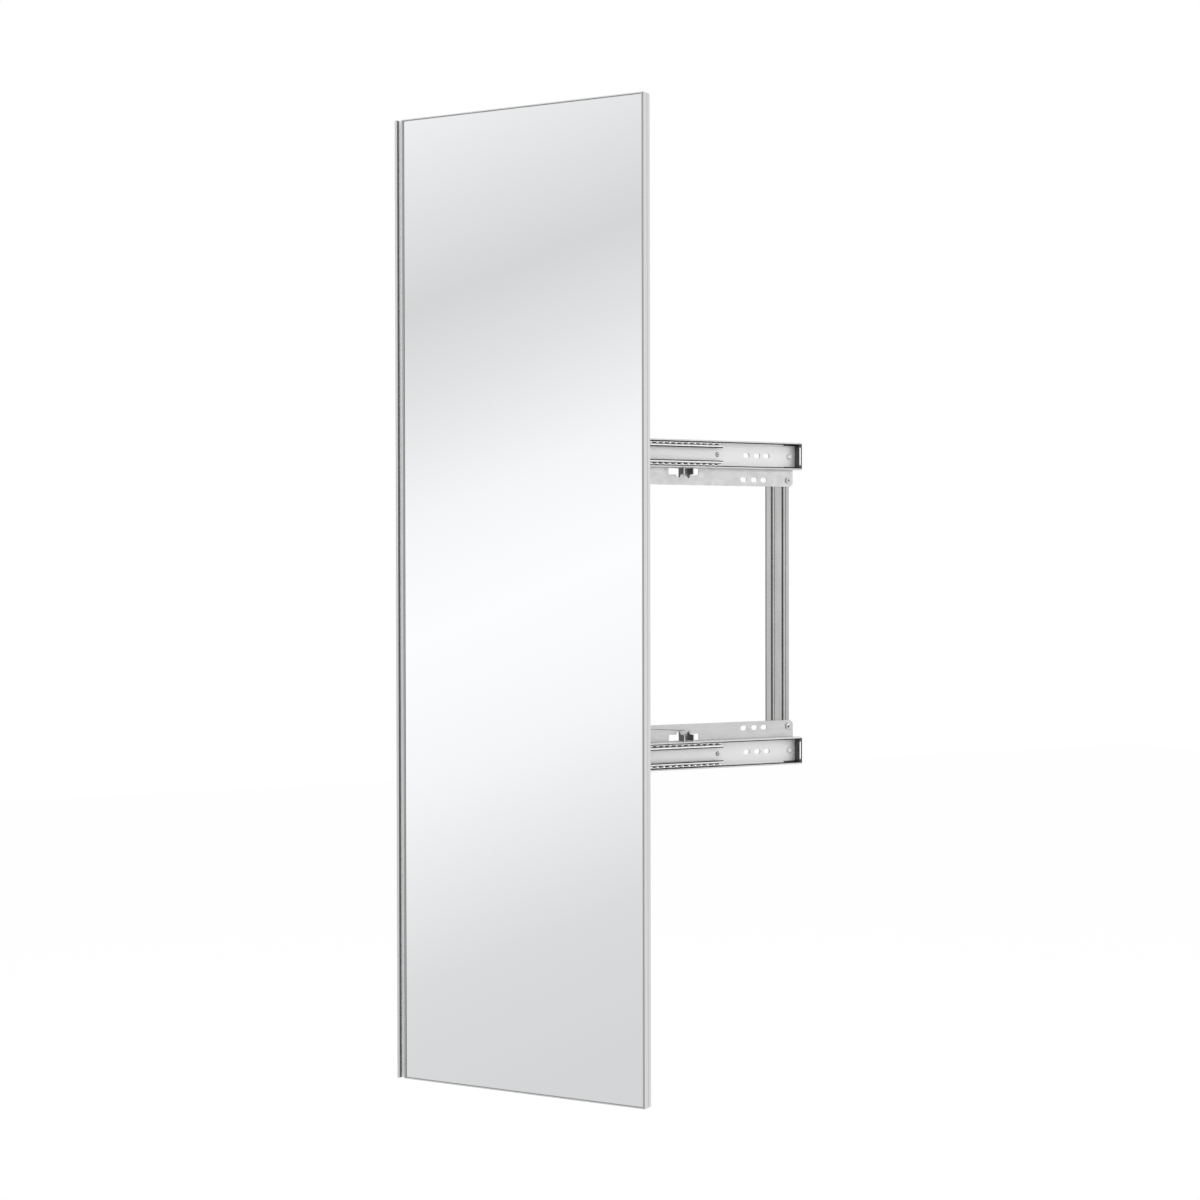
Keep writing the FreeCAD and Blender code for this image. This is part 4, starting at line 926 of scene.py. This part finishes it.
def makeRivets():
    size = slideRivet
    face = slideBack - outerMember["wall"]
    rear, front = outerMember["rivets"]
    rears, fronts = ([at(x, face, side * slideLine, outwards) for _, side in levels] for x in (rear, front))
    piece = scatter("slideRivets", (makeRivet(size, size["high"], True), rears),
                    (makeRivet(size, size["low"]), fronts))
    dress(piece, "slideSteel")
    settle(piece, "wall_frame", "rivet_steel", "slide_rivets", smooth=28)

    size = armRivet
    innerFront = reach("upper_inner_member")[0].x
    places = [at(innerFront + x, slideBack - slideDeep, side * slideLine, outwards)
              for _, side in levels for x in innerMember["rivets"]]
    piece = scatter("armRivets", (makeRivet(size, size["thick"]), places))
    dress(piece, "rivetSteel")
    settle(piece, "carriage", "rivet_steel", "arm_rivets", smooth=28)

    size = stopStud
    studX = reach("upper_middle_member")[1].x - middleMember["studInset"]
    face = slideBack - middleMember["back"] - middleMember["wall"]
    head, thick, bore = size["head"], size["thick"], size["bore"]
    profile = turned([(bore, -size["grip"], 0), (size["shank"], -size["grip"], 0.1), (size["shank"], 0, 0),
                      (head, 0, 0), (head, thick, size["round"]), (bore, thick, size["round"] / 2)])
    template = turnedPiece("stud", profile, inMillimetres, True)
    dress(template, "slideSteel")
    # painted shade: the side and rounding of the stud head are painted near-black for the ring of shade round
    # it
    paint(template, "rawEdge", lambda middle, normal: abs(normal.z) < 0.95)
    places = [at(studX, face, side * slideLine, outwards) for _, side in levels]
    piece = scatter("stopStuds", (template, places))
    settle(piece, "middle_members", "rivet_steel", "stop_studs", smooth=40)


makeRivets()
print("rivets and studs made")


post = {"radius": 5.0, "bore": 2.05, "boreDeep": 14, "chamfer": 0.6}
washer = {"out": 8.3, "bore": 5.1, "soft": 0.25}
bush = {"out": 7.0, "bore": 5.03, "chamfer": 0.4, "slit": 0.6, "slitReach": (3, 9)}


def makePivot():
    centre = pivot / mm
    top = reach("pivot_post")[1].z
    size = post
    radius, bore, chamfer = size["radius"], size["bore"], size["chamfer"]
    boreEnd = -top + size["boreDeep"]
    bottomHalf = [(0, boreEnd), (bore, boreEnd), (bore, -top), (radius - chamfer, -top),
                  (radius, -top + chamfer)]
    topHalf = [(across, -up) for across, up in reversed(bottomHalf)]
    place = at(centre.x, centre.y, 0) @ inMillimetres
    piece = turnedPiece("pivotPost", bottomHalf + topHalf, place, False, 48)
    dress(piece, "groundSteel")
    settle(piece, "carriage", "post_steel", "pivot_post", smooth=28)

    size = washer
    high = reach("thrust_washers")[1].z
    low = reach("upper_hinge_bracket")[1].z
    thick, soft = high - low, size["soft"]
    bm = bmesh.new()
    profile = turned([(size["bore"], 0, soft), (size["out"], 0, soft), (size["out"], thick, soft),
                      (size["bore"], thick, soft)])
    for base in (low, -high):
        lathe(bm, profile, at(centre.x, centre.y, base) @ inMillimetres, True, 48)
    piece = newPiece("thrustWashers", bm)
    dress(piece, "acetal")
    settle(piece, "carriage", "bearing_plastic", "thrust_washers", smooth=28)

    size = bush
    low, high = (corner.z for corner in reach("upper_hinge_bracket"))
    chamfer = size["chamfer"]
    profile = [(size["bore"] + chamfer, low), (size["out"] - chamfer, low), (size["out"], low + chamfer),
               (size["out"], high - chamfer), (size["out"] - chamfer, high), (size["bore"] + chamfer, high),
               (size["bore"], high - chamfer), (size["bore"], low + chamfer)]
    bm = bmesh.new()
    for way in (1, -1):
        lathe(bm, [(across, way * up) for across, up in profile], toMirror @ inMillimetres, True, 48)
    piece = newPiece("hingeBushes", bm)
    slits = bmesh.new()
    half, (near, far) = size["slit"] / 2, size["slitReach"]
    outline = [Vector((-half, near)), Vector((half, near)), Vector((half, far)), Vector((-half, far))]
    for way in (1, -1):
        sweep(slits, outline, low - 1, high + 1, lambda x, y, z: toMirror @ plainLay(x, y, way * z))
    carve(piece, newPiece("slits", slits))
    dress(piece, "acetal")
    settle(piece, "mirror", "bearing_plastic", "hinge_bushes", smooth=28)


makePivot()
print("post, washers and bushes made")


# Pieces whose form is right as packed get their edges rounded: the radius, finish, slot and body.
softForms = {
    "upper_plate lower_plate": (0.2, "zincSheet", "zinc_steel", "wall_frame"),
    "rear_upright front_upright": (0.2, "anodisedUpright", "anodised_profile", "wall_frame"),
    "upper_arm lower_arm": (0.6, "hingeSteel", "hinge_steel", "carriage"),
    "upper_hinge_bracket lower_hinge_bracket": (0.5, "hingeSteel", "hinge_steel", "mirror"),
    "mirror_glass": (0.12, "mirrorSilver", "mirror_silver", "mirror"),
    "glass_seal": (0.12, "sealGrey", "seal_rubber", "mirror"),
    "backing_panel": (0.3, "backingFoil", "backing_board", "mirror"),
    "corner_keys": (0.3, "blackPlastic", "key_plastic", "mirror"),
    "rear_edge_profile": (0.2, "frameAluminium", "frame_aluminium", "mirror"),
    "handle_profile": (0.15, "frameAluminium", "frame_aluminium", "mirror"),
    "top_profile bottom_profile": (0.2, "endAluminium", "frame_aluminium", "mirror"),
}
tabFolds = {"lines": (-34.6, -18.8), "thick": 1.5, "outside": 1.6, "inside": 0.8, "shadeFrom": 0.3}
uprightMarks = {"lines": (117.5, 135.3), "half": 0.45, "deep": 0.6}
uprightGrooves = {"across": (105.5, 139.5), "depths": (-2.95, -1.2)}
handleForm = {"left": -48.75, "front": -26.5, "radius": 0.8, "lipInside": -45.05, "wallLeft": -38.55,
              "floor": -21.9, "floorDeep": 4.2, "arrisBand": 1.0}
glassRim = {"left": -35.15, "right": 299.45, "front": -26.5, "bevel": 0.8}
edgeLines = {"rearFront": 300.0, "sealDark": -34.9}
near = 0.02  # millimetres within which two places are the same


# the bent tabs take a real bend radius at their folds
def bendTabs(piece):
    lines = [line + way * shift for line, way in zip(tabFolds["lines"], (1, -1))
             for shift in (0, tabFolds["thick"])]

    def onFold(depth):
        return lambda middle, along: (abs(along.z) > 0.9 and abs(middle.y - depth) < near
                                      and min(abs(middle.x - line) for line in lines) < near)

    soften(piece, tabFolds["outside"], 30, 4, onFold(slideBack + tabFolds["thick"]))
    soften(piece, tabFolds["inside"], 30, 3, onFold(slideBack))


def roundHandle(piece):
    def onArris(middle, along):
        local = fromMirror @ (middle * mm) / mm
        return (abs(along.z) > 0.9 and abs(local.x - handleForm["left"]) < near
                and abs(local.y - handleForm["front"]) < near)

    soften(piece, handleForm["radius"], 30, 4, onArris)


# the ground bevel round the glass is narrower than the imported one
def trimBevel(piece):
    low, high = (corner.z for corner in reach("mirror_glass"))
    bevel = glassRim["bevel"]
    for vert in piece.data.vertices:
        local = fromMirror @ vert.co / mm
        if abs(local.y - glassRim["front"]) > near:
            continue
        local.x = glassRim["left"] + bevel if local.x < 0 else glassRim["right"] - bevel
        local.z = low + bevel if local.z < 0 else high - bevel
        vert.co = toMirror @ (local * mm)


# two fine scored lines run beside the grooves
def scoreUpright(piece):
    low, high = reach("rear_upright")
    bm = bmesh.new()
    half, surface = uprightMarks["half"], low.y - 0.05
    for x in (way * line for way in (1, -1) for line in uprightMarks["lines"]):
        foot = Vector((x, low.y + uprightMarks["deep"]))
        outline = [Vector((x - half, surface)), Vector((x + half, surface)), foot]
        sweep(bm, outline, low.z - 1, high.z + 1, plainLay)
    carve(piece, newPiece("scores", bm))


# tests for the painted shade on these pieces, in the row's frame
# painted shade: the sides of the bent tabs take the darker zinc
def onTabSide(spot, facing):
    return spot.y < slideBack - tabFolds["shadeFrom"] and abs(facing.x) > 0.6


# painted shade: the grooves of the uprights are painted dark
def inUprightGroove(spot, facing):
    left, right = uprightGrooves["across"]
    bottom, top = uprightGrooves["depths"]
    return bottom < spot.y < top and abs(facing.z) < 0.5 and left < abs(spot.x) < right


# and in the mirror's own frame, for its edges: painted shade and light on the handle and rear edge profiles,
# and the own colour of the glass and board rims
# painted shade: the inner side of the handle lip is painted dark
def onLipInside(spot, facing):
    return abs(spot.x - handleForm["lipInside"]) < 0.2 and facing.x > 0.7 and spot.y < handleForm["floor"]


# painted light: the groove's floor, which lies in the groove's shade, is painted near-white
def onFloor(spot, facing):
    floor = handleForm["floor"] - 0.3
    inGroove = handleForm["lipInside"] < spot.x < handleForm["wallLeft"]
    return inGroove and floor < spot.y < floor + handleForm["floorDeep"] and facing.y < -0.9


# painted shade: the rounded arris of the handle is painted dark
def onArrisBand(spot, facing):
    return spot.x < handleForm["left"] + handleForm["arrisBand"] and facing.y < -0.2 and facing.x < -0.2


# painted shade: the front face of the rear edge profile is painted dark, as the dark line beside the glass
def onRearEdge(spot, facing):
    return spot.x > edgeLines["rearFront"] and facing.y < -0.9


def onRim(spot, facing):
    return abs(facing.y) < 0.6


def inMirror(test):
    turnBack = fromMirror.to_3x3()
    return lambda spot, facing: test(fromMirror @ (spot * mm) / mm, turnBack @ facing)


platePaintedShade, uprightPaintedShade = (("zincPaintedShade", onTabSide),), (("groovePaintedShade", inUprightGroove),)
# each piece's further finishes: painted shade and light on the plate tabs, upright grooves, handle and rear
# edge, and the own colours of the glass rim, mirror back, seal and board edge
edgeTones = {
    "upper_plate": platePaintedShade, "lower_plate": platePaintedShade,
    "rear_upright": uprightPaintedShade, "front_upright": uprightPaintedShade,
    "handle_profile": (("groovePaintedShade", onLipInside), ("brightEdge", onFloor), ("lipPaintedShade", onArrisBand)),
    "rear_edge_profile": (("lipPaintedShade", onRearEdge),),
    "mirror_glass": (("glassEdge", onRim), ("backPaint", lambda spot, facing: facing.y > 0.6)),
    "glass_seal": (("sealRubber", lambda spot, facing: spot.x < edgeLines["sealDark"]),),
    "backing_panel": (("chipEdge", onRim),),
}
extraWork = {"upper_plate": bendTabs, "lower_plate": bendTabs, "handle_profile": roundHandle,
             "mirror_glass": trimBevel, "rear_upright": scoreUpright, "front_upright": scoreUpright}
softRows = [(node, *row) for nodeNames, row in softForms.items() for node in nodeNames.split()]
for node, radius, finish, slotName, body in softRows:
    words = node.split("_")
    title = words[0] + "".join(word.capitalize() for word in words[1:])
    piece = addObject(title, nodes[node].data.copy())
    if node in extraWork:
        extraWork[node](piece)
    soften(piece, radius, 40 if node == "mirror_glass" else 30)
    dress(piece, finish)
    for shade, test in edgeTones.get(node, ()):
        paint(piece, shade, inMirror(test) if body == "mirror" else test)
    settle(piece, body, slotName, node, smooth=8 if node == "mirror_glass" else 32)
print("edges softened:", len(softRows))


room = {"floorDrop": 0.35, "floorSize": 14.0, "floorGrey": 0.86, "whiteShare": 0.9}


# pale floor: white to the camera apart from the object's shadow, and out of the way of reflections
def makeFloor():
    low = cadBox[0][2] - room["floorDrop"]
    half = room["floorSize"] / 2
    mesh = bpy.data.meshes.new("floor")
    corners = [(-half, -half, low), (half, -half, low), (half, half, low), (-half, half, low)]
    mesh.from_pydata(corners, [], [(0, 1, 2, 3)])
    floor = addObject("floor", mesh)
    material, sh = newMaterial("paleFloor")
    rays = sh.node("LightPath")
    seen = rays["Is Camera Ray"]
    grey = sh.mix(seen, tone(room["floorGrey"]), tone(1.0))
    matt = sh.node("BsdfDiffuse", None, Color=grey)["BSDF"]
    lit = sh.node("Emission", None, Color=tone(1.0), Strength=1.0)["Emission"]
    shown = sh.node("MixShader", None, seen * room["whiteShare"], matt, lit)["Shader"]
    reflected = rays["Is Glossy Ray"] + rays["Is Transmission Ray"]
    sh.output(sh.node("MixShader", None, reflected, shown, sh.node("BsdfTransparent")["BSDF"])["Shader"])
    mesh.materials.append(material)


# What glossy surfaces see: soft bands to the side, plain light behind, darker ends above and below.
tent = {
    "slope": 0.41, "low": -0.45, "high": 0.55,
    "bands": [(-0.45, 0.66), (-0.25, 0.70), (-0.19, 0.745), (-0.10, 0.965), (-0.035, 1.03), (0.02, 0.965),
              (0.075, 0.80), (0.115, 0.70), (0.15, 0.78), (0.21, 0.93), (0.30, 1.0), (0.55, 0.95)],
    "bandSide": (-0.80, -0.60), "plain": 0.93,
    "ends": (0.50, 0.85), "endDark": 0.62,
    "wall": (0.25, 0.70), "wallDark": 0.48,
    "gap": (-0.38, -0.16, 0.06, 0.26), "gapFront": (0.3, 0.6), "gapDark": 0.5,
    "daylight": 0.9,
}


def makeWorld():
    world = bpy.data.worlds.new("studio")
    bpy.context.scene.world = world
    sh = Shader(world)
    where = sh.node("SeparateXYZ", None, Vector=sh.node("TexCoord")["Generated"])
    x, y, z = where["X"], where["Y"], where["Z"]
    height = z + y * tent["slope"]
    length = tent["high"] - tent["low"]
    stops = [((place - tent["low"]) / length, (grey,) * 3) for place, grey in tent["bands"]]
    bands = sh.node("ValToRGB", {"stops": stops}, Fac=(height - tent["low"]) / length)["Color"]
    tentLight = sh.mix(sh.ramp(x, *tent["bandSide"]), bands, tone(tent["plain"]))
    steep = sh.ramp(z * z, tent["ends"][0] ** 2, tent["ends"][1] ** 2)
    wall = sh.ramp(y, *tent["wall"])
    left, leftFull, rightFull, right = tent["gap"]
    gap = sh.ramp(x, left, leftFull) * (1 - sh.ramp(x, rightFull, right)) * sh.ramp(0 - y, *tent["gapFront"])
    shade = (1 - steep * tent["endDark"]) * (1 - wall * tent["wallDark"]) * (1 - gap * tent["gapDark"])
    shaded = sh.scaled(tentLight, shade)
    rays = sh.node("LightPath")
    plain = sh.mix(rays["Is Camera Ray"], tone(tent["daylight"]), tone(1.0))
    seen = sh.mix(rays["Is Glossy Ray"], plain, shaded)
    sh.output(sh.node("Background", None, Color=seen, Strength=1.0)["Background"])


lamps = {
    "keyLamp": {"at": (-1.6, -2.2, 1.9), "size": 1.6, "watts": 18},
    "fillLamp": {"at": (1.5, -2.4, 0.3), "size": 1.6, "watts": 9},
    "rimLamp": {"at": (0.8, 2.0, 1.4), "size": 1.2, "watts": 8},
}


def makeLamps():
    aim = (Vector(cadBox[0]) + Vector(cadBox[1])) / 2
    for name, lamp in lamps.items():
        light = bpy.data.lights.new(name, "AREA")
        light.size = lamp["size"]
        light.energy = lamp["watts"]
        holder = addObject(name, light)
        holder.location = lamp["at"]
        holder.rotation_euler = (aim - holder.location).to_track_quat("-Z", "Y").to_euler()


view = {
    "at": (-1.50258, -2.54181, 0.04557), "yaw": 28.0008, "pitch": 0.7675, "roll": -0.0991,
    "focal": 2197.87, "frameWidth": 1200.0, "sensor": 36.0, "nearest": 0.05, "farthest": 60,
}


def makeCamera():
    yaw, pitch, roll = (math.radians(view[key]) for key in ("yaw", "pitch", "roll"))
    ahead = Vector((math.sin(yaw) * math.cos(pitch), math.cos(yaw) * math.cos(pitch), -math.sin(pitch)))
    level = Vector((math.cos(yaw), -math.sin(yaw), 0))
    above = level.cross(ahead)
    right = math.cos(roll) * level + math.sin(roll) * above
    up = math.cos(roll) * above - math.sin(roll) * level
    lens = bpy.data.cameras.new("camera")
    lens.sensor_width = view["sensor"]
    lens.lens = view["sensor"] * view["focal"] / view["frameWidth"]
    lens.clip_start = view["nearest"]
    lens.clip_end = view["farthest"]
    camera = addObject("camera", lens)
    turn = Matrix((right, up, -ahead)).transposed().to_4x4()
    camera.matrix_world = Matrix.Translation(view["at"]) @ turn
    bpy.context.scene.camera = camera


makeFloor()
makeWorld()
makeLamps()
makeCamera()
bpy.context.scene.view_settings.view_transform = "Standard"
print("room, light and camera made")
